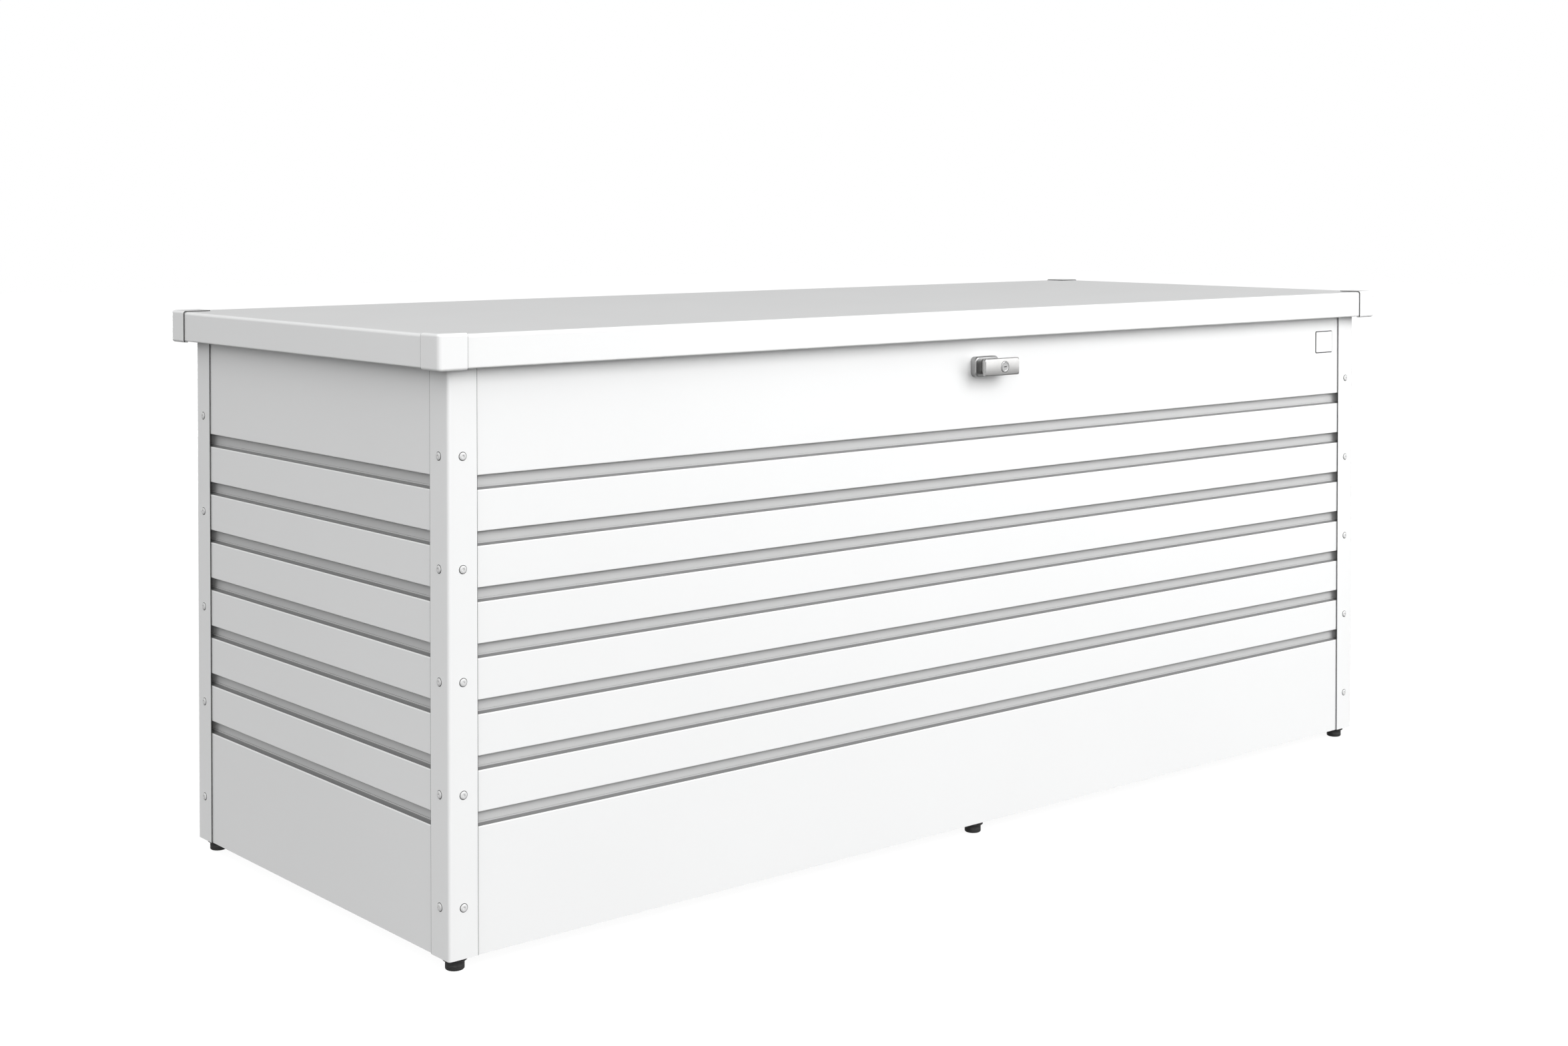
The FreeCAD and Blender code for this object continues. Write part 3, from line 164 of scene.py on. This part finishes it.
def ribbed(graph):
    """Powder coat on the walls, with painted shade inside the rolled grooves: greyer on their backs and
    dark on their floors.
    """
    made = paint(graph, WHITE, WHITE_DEEP)
    where = graph.add("ShaderNodeTexCoord")
    height = graph.add("ShaderNodeSeparateXYZ", {0: where.outputs["Object"]}).outputs["Z"]
    facing_up = graph.add("ShaderNodeSeparateXYZ", {0: where.outputs["Normal"]}).outputs["Z"]
    below_first = graph.sum_up("SUBTRACT", GROOVE_TOP, height)
    down = graph.sum_up("FLOORED_MODULO", below_first, GROOVE_PITCH)
    in_groove = graph.sum_up("MULTIPLY", graph.sum_up("LESS_THAN", down, GROOVE_HEIGHT),
                             graph.sum_up("GREATER_THAN", below_first, 0.0))
    in_groove = graph.sum_up("MULTIPLY", in_groove, graph.sum_up(
        "LESS_THAN", below_first, GROOVE_PITCH * GROOVE_COUNT))
    from_middle = graph.sum_up("DIVIDE", graph.sum_up("SUBTRACT", down, GROOVE_HEIGHT / 2),
                               GROOVE_HEIGHT / 2)
    # painted shade on the groove backs, a little darker towards their upper and lower edges
    back = graph.sum_up("SUBTRACT", 0.66, graph.sum_up(
        "MULTIPLY", graph.sum_up("MULTIPLY", from_middle, from_middle), 0.14))
    # painted shade: dark on the up-facing floors of the grooves
    floor = graph.between(facing_up, 1.0, 0.42, 0.80, 0.95)
    shade = graph.sum_up("MULTIPLY", back, floor)
    tint = graph.add("ShaderNodeCombineColor", {0: shade, 1: shade, 2: shade}).outputs[0]
    groove_painted_shade = graph.add("ShaderNodeVectorMath", {0: made["Base Color"], 1: tint},
                     operation="MULTIPLY").outputs[0]
    made["Base Color"] = graph.blend(in_groove, made["Base Color"], groove_painted_shade)
    return made


def with_painted_step_shade(graph, made, inner, outer, middle_y, top):
    """Paints shade on the narrow outer faces nearer the middle than the inner half widths, near-black as
    in a shadow gap.
    """
    where = graph.add("ShaderNodeSeparateXYZ", {
        0: graph.add("ShaderNodeTexCoord").outputs["Object"]}).outputs
    from_middle = (graph.sum_up("ABSOLUTE", where["X"]),
                   graph.sum_up("ABSOLUTE", graph.sum_up("SUBTRACT", where["Y"], middle_y)))
    upper = graph.sum_up("GREATER_THAN", where["Z"], top - SKIN)
    steps = []
    for axis in (0, 1):
        within = graph.sum_up("LESS_THAN", from_middle[axis], inner[axis])
        skin = graph.sum_up("GREATER_THAN", from_middle[1 - axis], outer[1 - axis] - SKIN)
        steps.append(graph.sum_up("MULTIPLY", within, graph.sum_up("MAXIMUM", skin, upper)))
    step = graph.sum_up("MAXIMUM", *steps)
    # painted shade: near-black on the step faces
    made["Base Color"] = graph.blend(step, made["Base Color"], grey(0.05))
    return made


def metal(graph, light, dark, gloss, grain=0.0006, stretch=(1, 1, 1), depth=0.000008):
    """Bare or plated metal: tone clouds, a grain that may run one way, and edges rubbed bright."""
    worn = graph.edges(0.0008)
    cloud = graph.noise(0.025, 4.0, 0.6)
    lines = graph.noise(grain, 3.0, 0.6, stretch)
    tone = graph.blend(graph.between(cloud, 0.0, 1.0, 0.3, 0.7), light, dark)
    tone = graph.blend(graph.between(lines, 0.0, 0.15, 0.35, 0.65), tone, dark)
    colour = graph.blend(graph.sum_up("MULTIPLY", worn, 0.6), tone, grey(0.9))
    rough = graph.between(graph.sum_up("ADD", lines, cloud), gloss[0], gloss[1], 0.7, 1.3)
    rough = graph.sum_up("SUBTRACT", rough, graph.sum_up("MULTIPLY", worn, 0.08))
    return {"Base Color": colour, "Roughness": rough, "Normal": graph.bump(lines, depth)}


def moulded(graph, light, dark, gloss, grain=0.0009, depth=0.00002):
    """Moulded plastic or rubber: fine spark grain, scuffed edges."""
    worn = graph.edges(0.0010)
    cloud = graph.noise(0.02, 3.0)
    tone = graph.blend(graph.between(cloud, 0.0, 1.0, 0.3, 0.7), light, dark)
    scuffed = tuple(min(1.0, part * 1.5 + 0.02) for part in light[:3]) + (1.0,)
    colour = graph.blend(graph.sum_up("MULTIPLY", worn, 0.4), tone, scuffed)
    rough = graph.between(graph.noise(0.006, 3.0), gloss[0], gloss[1], 0.3, 0.7)
    skin = graph.bump(graph.noise(grain, 2.0), depth)
    return {"Base Color": colour, "Roughness": rough, "Normal": skin}


def galvanised(graph):
    """Hot-dip zinc: spangle cells of slightly different tone and gloss over a fine frost."""
    worn = graph.edges(0.0010)
    spangle = graph.cells(0.011)
    small = graph.cells(0.004)
    mixed = graph.sum_up("ADD", graph.sum_up("MULTIPLY", spangle, 0.65),
                         graph.sum_up("MULTIPLY", small, 0.35))
    tone = graph.blend(mixed, grey(0.50, (0.97, 1.0, 1.02)), grey(0.68, (0.98, 1.0, 1.01)))
    streaks = graph.between(graph.noise(0.06, 4.0, 0.6), 0.0, 0.35, 0.45, 0.8)
    tone = graph.blend(streaks, tone, grey(0.42))
    colour = graph.blend(graph.sum_up("MULTIPLY", worn, 0.5), tone, grey(0.78))
    rough = graph.between(mixed, 0.36, 0.52)
    return {"Base Color": colour, "Roughness": rough,
            "Normal": graph.bump(graph.noise(0.0008, 2.0), 0.00001)}


WALL_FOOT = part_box("front_wall")[0].z
GROOVE_PITCH = 0.07284
GROOVE_HEIGHT = 0.0188
GROOVE_COUNT = 7
GROOVE_TOP = WALL_FOOT + 0.6225

WHITE = grey(0.875, (0.995, 1.0, 1.0))
WHITE_DEEP = grey(0.862, (0.995, 1.0, 1.0))
SATIN = grey(0.47, (1.0, 0.995, 0.985))
SATIN_DEEP = grey(0.42, (1.0, 0.995, 0.985))

MATERIALS = {
    "white_powder_coat": finish_material(
        "powder_coat", lambda g: paint(g, WHITE, WHITE_DEEP), Specular_IOR_Level=0.5),
    "white_plastic": finish_material(
        "cap_plastic", lambda g: paint(g, WHITE, WHITE_DEEP, (0.28, 0.31), 0.0007, 0.000002)),
    "plate_metal": finish_material(
        "plate_satin", lambda g: paint(g, grey(0.86), grey(0.83), (0.28, 0.34), 0.0005, 0.000003)),
    "handle_metal": finish_material(
        "satin_nickel",
        lambda g: metal(g, SATIN, SATIN_DEEP, (0.28, 0.36), 0.0004, (0.05, 1, 1), 0.000003),
        Metallic=1.0),
    "lock_metal": finish_material(
        "satin_lock", lambda g: metal(g, grey(0.42), grey(0.36), (0.34, 0.42), 0.0004),
        Metallic=1.0),
    # painted shade: the screw heads take a darker grey than the white post paint, to show their shading
    "screw_steel": finish_material(
        "screw_head_painted_shade", lambda g: paint(g, grey(0.72), grey(0.68), (0.28, 0.34), 0.0004, 0.000003)),
    "galvanised_steel": finish_material("galvanised", galvanised, Metallic=1.0),
    "hinge_steel": finish_material(
        "hinge_zinc",
        lambda g: metal(g, grey(0.66, (1.0, 0.99, 0.96)), grey(0.56), (0.26, 0.40)), Metallic=1.0),
    "black_plastic": finish_material(
        "foot_plastic", lambda g: moulded(g, grey(0.030), grey(0.022), (0.36, 0.50))),
    "black_rubber": finish_material(
        "buffer_rubber", lambda g: moulded(g, grey(0.028), grey(0.020), (0.62, 0.78))),
    "black_paint": finish_material(
        "tube_paint", lambda g: moulded(g, grey(0.022), grey(0.018), (0.16, 0.26), 0.0012, 0.000006)),
    "chrome_rod": finish_material(
        "hard_chrome", lambda g: metal(g, grey(0.85), grey(0.80), (0.05, 0.11), 0.0006),
        Metallic=1.0),
}

SKIN = 0.0026


def step_places(corner_piece, whole, margin):
    """Half widths to a front left piece's inner and outer faces, and the middle they are taken from."""
    low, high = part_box(corner_piece)
    middle_y = sum(corner.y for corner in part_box(whole)) / 2
    return ((-high.x + margin, middle_y - high.y + margin), (-low.x, middle_y - low.y), middle_y)


POST_STEPS = step_places("post_front_left", "left_wall", 0.0008)
CAP_STEPS = step_places("lid_cap_front_left", "lid_shell", 0.0003)
CAP_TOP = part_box("lid_cap_front_left")[1].z
OVERHEAD = 10.0
BY_NODE = {
    "_wall": finish_material("ribbed_powder_coat", ribbed),
    "post_": finish_material("post_powder_coat", lambda g: with_painted_step_shade(
        g, paint(g, WHITE, WHITE_DEEP), *POST_STEPS, OVERHEAD)),
    "lid_cap": finish_material("cap_moulding", lambda g: with_painted_step_shade(
        g, paint(g, WHITE, WHITE_DEEP, (0.28, 0.31), 0.0007, 0.000002), *CAP_STEPS, CAP_TOP)),
}
ROSETTE = finish_material("rosette_zinc",
                          lambda g: metal(g, grey(0.42), grey(0.34), (0.28, 0.40), 0.0005),
                          Metallic=1.0)

KEEP_SLOT_FINISH = ("post_screws", "leaf")


def finish_for(node_name, slot):
    """The finish made for a kind of node, or else the one of its slot."""
    if not any(word in node_name for word in KEEP_SLOT_FINISH):
        for part, finish in BY_NODE.items():
            if part in node_name:
                return finish
    return MATERIALS[slot]


for name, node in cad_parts.items():
    for holder in node.material_slots:
        holder.material = finish_for(name, holder.material.name)


# ---------------------------------------------------------------- mesh building

MM = 0.001


def circle(radius, height, count=48, lobes=0, swing=0.0, centre=(0, 0)):
    """A loop of points round a centre, its radius waving with a number of lobes."""
    points = []
    for step in range(count):
        angle = 2 * math.pi * step / count
        reach = radius * (1 + swing * math.cos(lobes * angle))
        points.append(Vector((centre[0] + reach * math.cos(angle),
                              centre[1] + reach * math.sin(angle), height)))
    return points


def rounded_rectangle(half_width, half_height, corner, height, steps=9, along=12):
    """A loop with four round corners and evenly spaced points along its straight sides."""
    arcs = []
    for quarter, (side, level) in enumerate(((1, 1), (-1, 1), (-1, -1), (1, -1))):
        angles = [(quarter + step / steps) * math.pi / 2 for step in range(steps + 1)]
        arcs.append([Vector((side * (half_width - corner) + corner * math.cos(angle),
                             level * (half_height - corner) + corner * math.sin(angle), height))
                     for angle in angles])
    points = []
    for arc, following in zip(arcs, arcs[1:] + arcs[:1]):
        points += arc
        points += [arc[-1].lerp(following[0], step / (along + 1)) for step in range(1, along + 1)]
    return points


def towards(loop, centre, radius, share):
    """The loop moved by a share of the way onto a circle round a centre."""
    moved = []
    for point in loop:
        across = Vector((point.x - centre[0], point.y - centre[1], 0))
        goal = Vector((centre[0], centre[1], point.z)) + across.normalized() * radius
        moved.append(point.lerp(goal, share))
    return moved


def round_edge(radius, height, steps=6):
    """(inset, height) pairs of a quarter round that ends level at a height."""
    return [(radius * (1 - math.cos(step / steps * math.pi / 2)),
             height - radius + radius * math.sin(step / steps * math.pi / 2))
            for step in range(steps + 1)]


def facing(direction, place):
    """Takes local +Z to a level direction and local +Y up, at a place."""
    out = Vector(direction)
    up = Vector((0, 0, 1))
    turned = Matrix((up.cross(out), up, out)).transposed().to_4x4()
    return Matrix.Translation(place) @ turned


def add_loops(mesh, loops, matrix, closed=True):
    """Skins consecutive loops into a bmesh, and closes both ends or joins the last to the first."""
    rows = [[mesh.verts.new(matrix @ point) for point in loop] for loop in loops]
    pairs = list(zip(rows, rows[1:]))
    if not closed:
        pairs.append((rows[-1], rows[0]))
    for lower, upper in pairs:
        for index in range(len(lower)):
            after = (index + 1) % len(lower)
            mesh.faces.new((lower[index], lower[after], upper[after], upper[index]))
    if closed:
        mesh.faces.new(list(reversed(rows[0])))
        mesh.faces.new(rows[-1])


def piece(name, build, slot, body, *stands_for, sharp=32):
    """Makes one object from a function that fills a bmesh, and gives it a finish and a body."""
    shape = bmesh.new()
    build(shape)
    bmesh.ops.recalc_face_normals(shape, faces=shape.faces)
    data = bpy.data.meshes.new(name)
    shape.to_mesh(data)
    shape.free()
    data.shade_smooth()
    data.set_sharp_from_angle(angle=math.radians(sharp))
    data.materials.append(MATERIALS[slot])
    thing = bpy.data.objects.new(name, data)
    scene.collection.objects.link(thing)
    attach(thing, body)
    if stands_for:
        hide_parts(*stands_for)
    return thing


# ---------------------------------------------------------------- screws and feet

SCREW_RADIUS = 5.1 * MM
SCREW_HEIGHT = 1.7 * MM
SCREW_IN = 22.2 * MM
SCREW_PITCH = 145.68 * MM
SCREW_ROWS = 5


def screw_head(shape, matrix):
    """A pan head with a soft rim and a six-lobed driver recess, on its shank."""
    recess = 1.9 * MM
    rim = 0.5 * MM
    loops = [circle(2 * MM, -3 * MM), circle(2 * MM, 0), circle(SCREW_RADIUS, 0)]
    loops.append(circle(SCREW_RADIUS, rim))
    for step in range(1, 6):
        angle = step / 5 * math.pi / 2
        loops.append(circle(recess * 1.3 + (SCREW_RADIUS - recess * 1.3) * math.cos(angle),
                            rim + (SCREW_HEIGHT - rim) * math.sin(angle)))
    loops.append(circle(recess, SCREW_HEIGHT * 0.97, lobes=6, swing=0.14))
    loops.append(circle(recess * 0.9, 0.5 * MM, lobes=6, swing=0.14))
    loops.append(circle(recess * 0.3, 0.35 * MM))
    add_loops(shape, loops, matrix)


def screw_shade_ring(shape, matrix):
    """A thin dark ring under a head, standing for the shade round it: it shows as a fine dark rim."""
    rim = SCREW_RADIUS + 0.8 * MM
    loops = [circle(rim, -0.3 * MM), circle(rim, 0.12 * MM), circle(rim - 0.1 * MM, 0.2 * MM)]
    add_loops(shape, loops, matrix)


def all_screws(shape, part):
    """Five rows of heads or of dark rings of painted shade on both faces of each post, each turned as it
    was driven home.
    """
    draw = random.Random(11)
    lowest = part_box("post_screws")[0].z + SCREW_RADIUS
    for side in ("left", "right"):
        for end in ("front", "rear"):
            low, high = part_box(f"post_{end}_{side}")
            outer_x, out_x = (low.x, -1) if side == "left" else (high.x, 1)
            outer_y, out_y = (low.y, -1) if end == "front" else (high.y, 1)
            for row in range(SCREW_ROWS):
                level = lowest + row * SCREW_PITCH
                heads = (((0, out_y, 0), (outer_x - out_x * SCREW_IN, outer_y, level)),
                         ((out_x, 0, 0), (outer_x, outer_y - out_y * SCREW_IN, level)))
                for direction, place in heads:
                    turn = Matrix.Rotation(draw.uniform(0, math.pi / 3), 4, "Z")
                    part(shape, facing(direction, place) @ turn)


def foot(shape, place):
    """A levelling foot: rounded tread, ribbed adjusting ring, coned flange and stud."""
    tread = 12.7 * MM
    flange = 16 * MM
    edge = 2.4 * MM
    waist = 12.3 * MM
    loops = [circle(tread - edge - 3 * MM, 0, 72), circle(tread - edge, 0, 72)]
    for step in range(1, 7):
        angle = step / 6 * math.pi / 2
        loops.append(circle(tread - edge + edge * math.sin(angle), edge * (1 - math.cos(angle)), 72))
    loops += [circle(tread, 5.0 * MM, 72), circle(waist, 5.3 * MM, 72),
              circle(waist, 5.9 * MM, 72), circle(tread, 6.2 * MM, 72)]
    loops += [circle(tread * 0.992, level * MM, 72, 36, 0.008) for level in (6.6, 10.0)]
    loops += [circle(tread, 10.4 * MM, 72), circle(tread, 11.2 * MM, 72)]
    loops += [circle(flange - 0.6 * MM, 12.4 * MM, 72), circle(flange, 13.0 * MM, 72),
              circle(flange, 17.7 * MM, 72), circle(flange - 0.3 * MM, 18 * MM, 72)]
    loops += [circle(4 * MM, 18 * MM, 72), circle(4 * MM, 30 * MM, 72)]
    add_loops(shape, loops, Matrix.Translation(place))


def make_fixings():
    """The screws with dark rings of painted shade round their heads, and a foot for every CAD foot."""
    piece("post_screw_heads", lambda shape: all_screws(shape, screw_head), "screw_steel", "box",
          "post_screws")
    # painted shade: the rings round the heads take the dark rubber finish
    piece("post_screw_shade_rings", lambda shape: all_screws(shape, screw_shade_ring), "black_rubber", "box")
    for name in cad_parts:
        if name.startswith("foot_"):
            low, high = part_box(name)
            middle = (low + high) / 2
            piece(f"levelling_{name}", lambda shape, at=(middle.x, middle.y, low.z): foot(shape, at),
                  "black_plastic", "box", name)


make_fixings()


# ---------------------------------------------------------------- handle, lock and name plate

def make_rosette():
    """The fixed block behind the handle, with soft corners and a bore for the spindle."""
    low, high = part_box("handle_rosette")
    middle = (low + high) / 2
    half_width, half_height = (high.x - low.x) / 2, (high.z - low.z) / 2
    depth = high.y - low.y
    bore = 6.1 * MM
    corner = 8 * MM
    edge = 2.5 * MM

    def build(shape):
        loops = [rounded_rectangle(half_width, half_height, corner, 0)]
        for inset, height in round_edge(edge, depth):
            loops.append(rounded_rectangle(half_width - inset, half_height - inset,
                                           corner - inset, height))
        front = loops[-1]
        loops += [towards(front, (0, 0), bore, share) for share in (0.2, 0.6, 1.0)]
        loops.append([Vector((point.x, point.y, 0)) for point in loops[-1]])
        add_loops(shape, loops, facing((0, -1, 0), (middle.x, high.y, middle.z)), closed=False)

    rosette = piece("rosette", build, "handle_metal", "box", "handle_rosette")
    rosette.data.materials[0] = ROSETTE


def make_grip():
    """The turning bar: a slab with a crowned face and round edges, on a narrower neck."""
    low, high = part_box("handle_grip")
    middle = (low + high) / 2
    half_width, half_height = (high.x - low.x) / 2, (high.z - low.z) / 2
    thick = 6.5 * MM
    edge = 1.3 * MM
    crown = 0.7 * MM
    corner = 3.4 * MM
    seat_depth = 5.2 * MM
    neck_half_width, neck_half_height, neck_corner = 13 * MM, 12 * MM, 5 * MM
    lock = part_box("lock_barrel")
    lock_middle = (lock[0] + lock[1]) / 2
    seat = (lock_middle.x - middle.x, 0)
    seat_radius = (lock[1].x - lock[0].x) / 2 + 0.6 * MM
    neck_middle = -middle.x
    back = high.y - low.y - thick

    def crowned(point, flat):
        lift = crown * (1 - (point.y / half_height) ** 2)
        return Vector((point.x, point.y, flat + lift))

    def build(shape):
        matrix = facing((0, -1, 0), (middle.x, high.y, middle.z))
        neck = [[point + Vector((neck_middle, 0, 0)) for point in
                 rounded_rectangle(neck_half_width - inset, neck_half_height - inset,
                                   neck_corner - inset, height)]
                for inset, height in ((0.6 * MM, 0), (0, 0.6 * MM), (0, back))]
        add_loops(shape, neck, matrix)
        face = back + thick - crown
        loops = [rounded_rectangle(half_width - inset, half_height - inset, corner - inset,
                                   back + 0.8 * MM - rise)
                 for inset, rise in ((0.8 * MM, 0.8 * MM), (0.25 * MM, 0.55 * MM), (0, 0))]
        for inset, height in round_edge(edge, face, 8):
            loops.append(rounded_rectangle(half_width - inset, half_height - inset,
                                           corner - inset, height))
        front = loops.pop()
        for share in (0, 0.12, 0.3, 0.5, 0.7, 0.85, 1.0):
            loops.append([crowned(point, face) for point in
                          towards(front, seat, seat_radius, share)])
        loops.append([Vector((point.x, point.y, face - seat_depth)) for point in loops[-1]])
        add_loops(shape, loops, matrix)

    piece("turn_bar", build, "handle_metal", "handle", "handle_grip", sharp=40)


def make_lock_ring():
    """The lock's barrel: a ring with a rolled lip and a fine knurled band inside it."""
    low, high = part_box("lock_barrel")
    middle = (low + high) / 2
    outer = (high.x - low.x) / 2
    inner = 6.05 * MM
    depth = high.y - low.y
    band = 0.35 * MM

    def build(shape):
        loops = [circle(outer, 0, 96)]
        loops += [circle(outer - inset, height, 96) for inset, height in
                  round_edge(0.6 * MM, depth)]
        loops += [circle(outer - 1.0 * MM, depth, 96), circle(outer - 1.15 * MM, depth - band, 96),
                  circle(outer - 1.5 * MM, depth - band * 0.6, 96, 48, 0.012),
                  circle(outer - 1.9 * MM, depth - band, 96), circle(outer - 2.0 * MM, depth, 96),
                  circle(inner + 0.15 * MM, depth, 96), circle(inner, depth - 0.15 * MM, 96),
                  circle(inner, 0, 96)]
        add_loops(shape, loops, facing((0, -1, 0), (middle.x, high.y, middle.z)), closed=False)

    piece("lock_ring", build, "lock_metal", "handle", "lock_barrel", sharp=50)


def make_name_plate():
    """A blank plate with round corners on a dark sheet of painted shade that shows as a thin dark line
    round it.
    """
    low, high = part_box("name_plate")
    middle = (low + high) / 2
    half_width, half_height = (high.x - low.x) / 2, (high.z - low.z) / 2
    depth = high.y - low.y
    corner = 3 * MM
    border = 1.5 * MM
    shade_sheet_thickness = 0.5 * MM
    matrix = facing((0, -1, 0), (middle.x, high.y, middle.z))

    def layers(shape, steps):
        loops = [rounded_rectangle(half_width - inset, half_height - inset,
                                   max(corner - inset, 0.8 * MM), height)
                 for inset, height in steps]
        add_loops(shape, loops, matrix)

    def build_plate(shape):
        steps = [(border, shade_sheet_thickness)]
        steps += [(border + inset, height) for inset, height in round_edge(0.4 * MM, depth, 4)]
        steps += [(border + 4 * MM, depth), (border + 12 * MM, depth)]
        layers(shape, steps)

    # painted shade: a dark sheet under the plate, wider than it, that shows as a thin dark line round its
    # edges
    def build_shade_sheet(shape):
        layers(shape, [(0, 0), (0, shade_sheet_thickness * 0.7), (0.15 * MM, shade_sheet_thickness), (border + MM, shade_sheet_thickness)])

    piece("blank_plate", build_plate, "plate_metal", "box", "name_plate")
    piece("plate_shade_sheet", build_shade_sheet, "black_rubber", "box")


make_rosette()
make_grip()
make_lock_ring()
make_name_plate()


# ---------------------------------------------------------------- studio

KEY_SIDE = (-0.75, -0.66, 0.0)
DOME_NEAR = 1.67
DOME_AWAY = 0.18
DOME_ZENITH = 0.9
BELOW = 0.03
BELOW_IN_GLOSS = 0.3


def make_camera():
    """A 50 mm view from the front left at about lid height, shifted to put the object in the frame."""
    data = bpy.data.cameras.new("camera")
    data.lens = 50
    data.sensor_width = 36
    data.shift_y = -0.1813
    data.clip_start = 0.05
    data.clip_end = 60
    camera = bpy.data.objects.new("camera", data)
    camera.location = (-2.4357, -2.7556, 0.9977)
    camera.rotation_euler = (math.radians(90 - 1.053), 0, math.radians(-40.252))
    scene.collection.objects.link(camera)
    scene.camera = camera


def make_world():
    """White to the camera; on the object a wide soft dome, brighter towards the key and dim below."""
    world = bpy.data.worlds.new("studio")
    scene.world = world
    world.use_nodes = True
    graph = Graph(world.node_tree)
    direction = graph.add("ShaderNodeTexCoord").outputs["Generated"]
    height = graph.add("ShaderNodeSeparateXYZ", {0: direction}).outputs["Z"]
    facing_key = graph.add("ShaderNodeVectorMath", {0: direction, 1: KEY_SIDE},
                           operation="DOT_PRODUCT").outputs["Value"]
    dome = graph.between(facing_key, DOME_AWAY, DOME_NEAR, -1.0, 1.0)
    dome = graph.sum_up("MULTIPLY", dome, graph.between(height, 1.0, DOME_ZENITH, 0.0, 1.0))
    path = graph.add("ShaderNodeLightPath").outputs
    below = graph.between(path["Is Glossy Ray"], BELOW, BELOW_IN_GLOSS)
    strength = graph.between(height, below, dome, -0.03, 0.03)
    seen = graph.add("ShaderNodeBackground", {"Color": grey(1.0), "Strength": 1.0})
    felt = graph.add("ShaderNodeBackground", {"Color": grey(1.0), "Strength": strength})
    mixed = graph.add("ShaderNodeMixShader", {
        0: path["Is Camera Ray"], 1: felt.outputs[0], 2: seen.outputs[0]})
    graph.add("ShaderNodeOutputWorld", {"Surface": mixed.outputs[0]})


def make_floor():
    """A pale paper floor that adds no light and no reflection to the object."""
    bpy.ops.mesh.primitive_plane_add(size=40, location=(0, 0, 0))
    floor = bpy.context.object
    floor.name = "floor"
    material = bpy.data.materials.new("floor_paper")
    material.use_nodes = True
    graph = Graph(material.node_tree)
    tone = graph.blend(graph.noise(0.5, 2.0), grey(0.16), grey(0.14))
    shader = graph.add("ShaderNodeBsdfPrincipled", {
        "Base Color": tone, "Roughness": 0.9, "Specular IOR Level": 0.0,
        "Emission Color": grey(1.0), "Emission Strength": 0.93})
    graph.add("ShaderNodeOutputMaterial", {"Surface": shader.outputs[0]})
    floor.data.materials.append(material)
    floor.visible_diffuse = False
    floor.visible_glossy = False


def make_light(name, place, aim, size, power):
    """A soft rectangular light at a place, aimed at a point; sizes in metres, power in watts."""
    data = bpy.data.lights.new(name, "AREA")
    data.shape = "RECTANGLE"
    data.size, data.size_y = size
    data.energy = power
    lamp = bpy.data.objects.new(name, data)
    lamp.location = place
    lamp.rotation_euler = (Vector(aim) - Vector(place)).to_track_quat("-Z", "Y").to_euler()
    scene.collection.objects.link(lamp)


scene.view_settings.view_transform = "Standard"
make_camera()
make_world()
make_floor()
make_light("front_softbox", (2.0, -4.7, 3.0), (0.4, 0, 0.4), (3.5, 3.0), 160)
make_light("low_softbox", (4.4, -4.4, 1.0), (0.6, 0, 0.5), (3.4, 2.0), 40)
make_light("corner_strip", (-3.3, -3.8, 1.3), (-0.9, -0.4, 0.5), (0.4, 1.6), 24)
make_light("rear_softbox", (1.2, 4.4, 0.42), (0.1, 0, 0.40), (4.4, 0.7), 75)
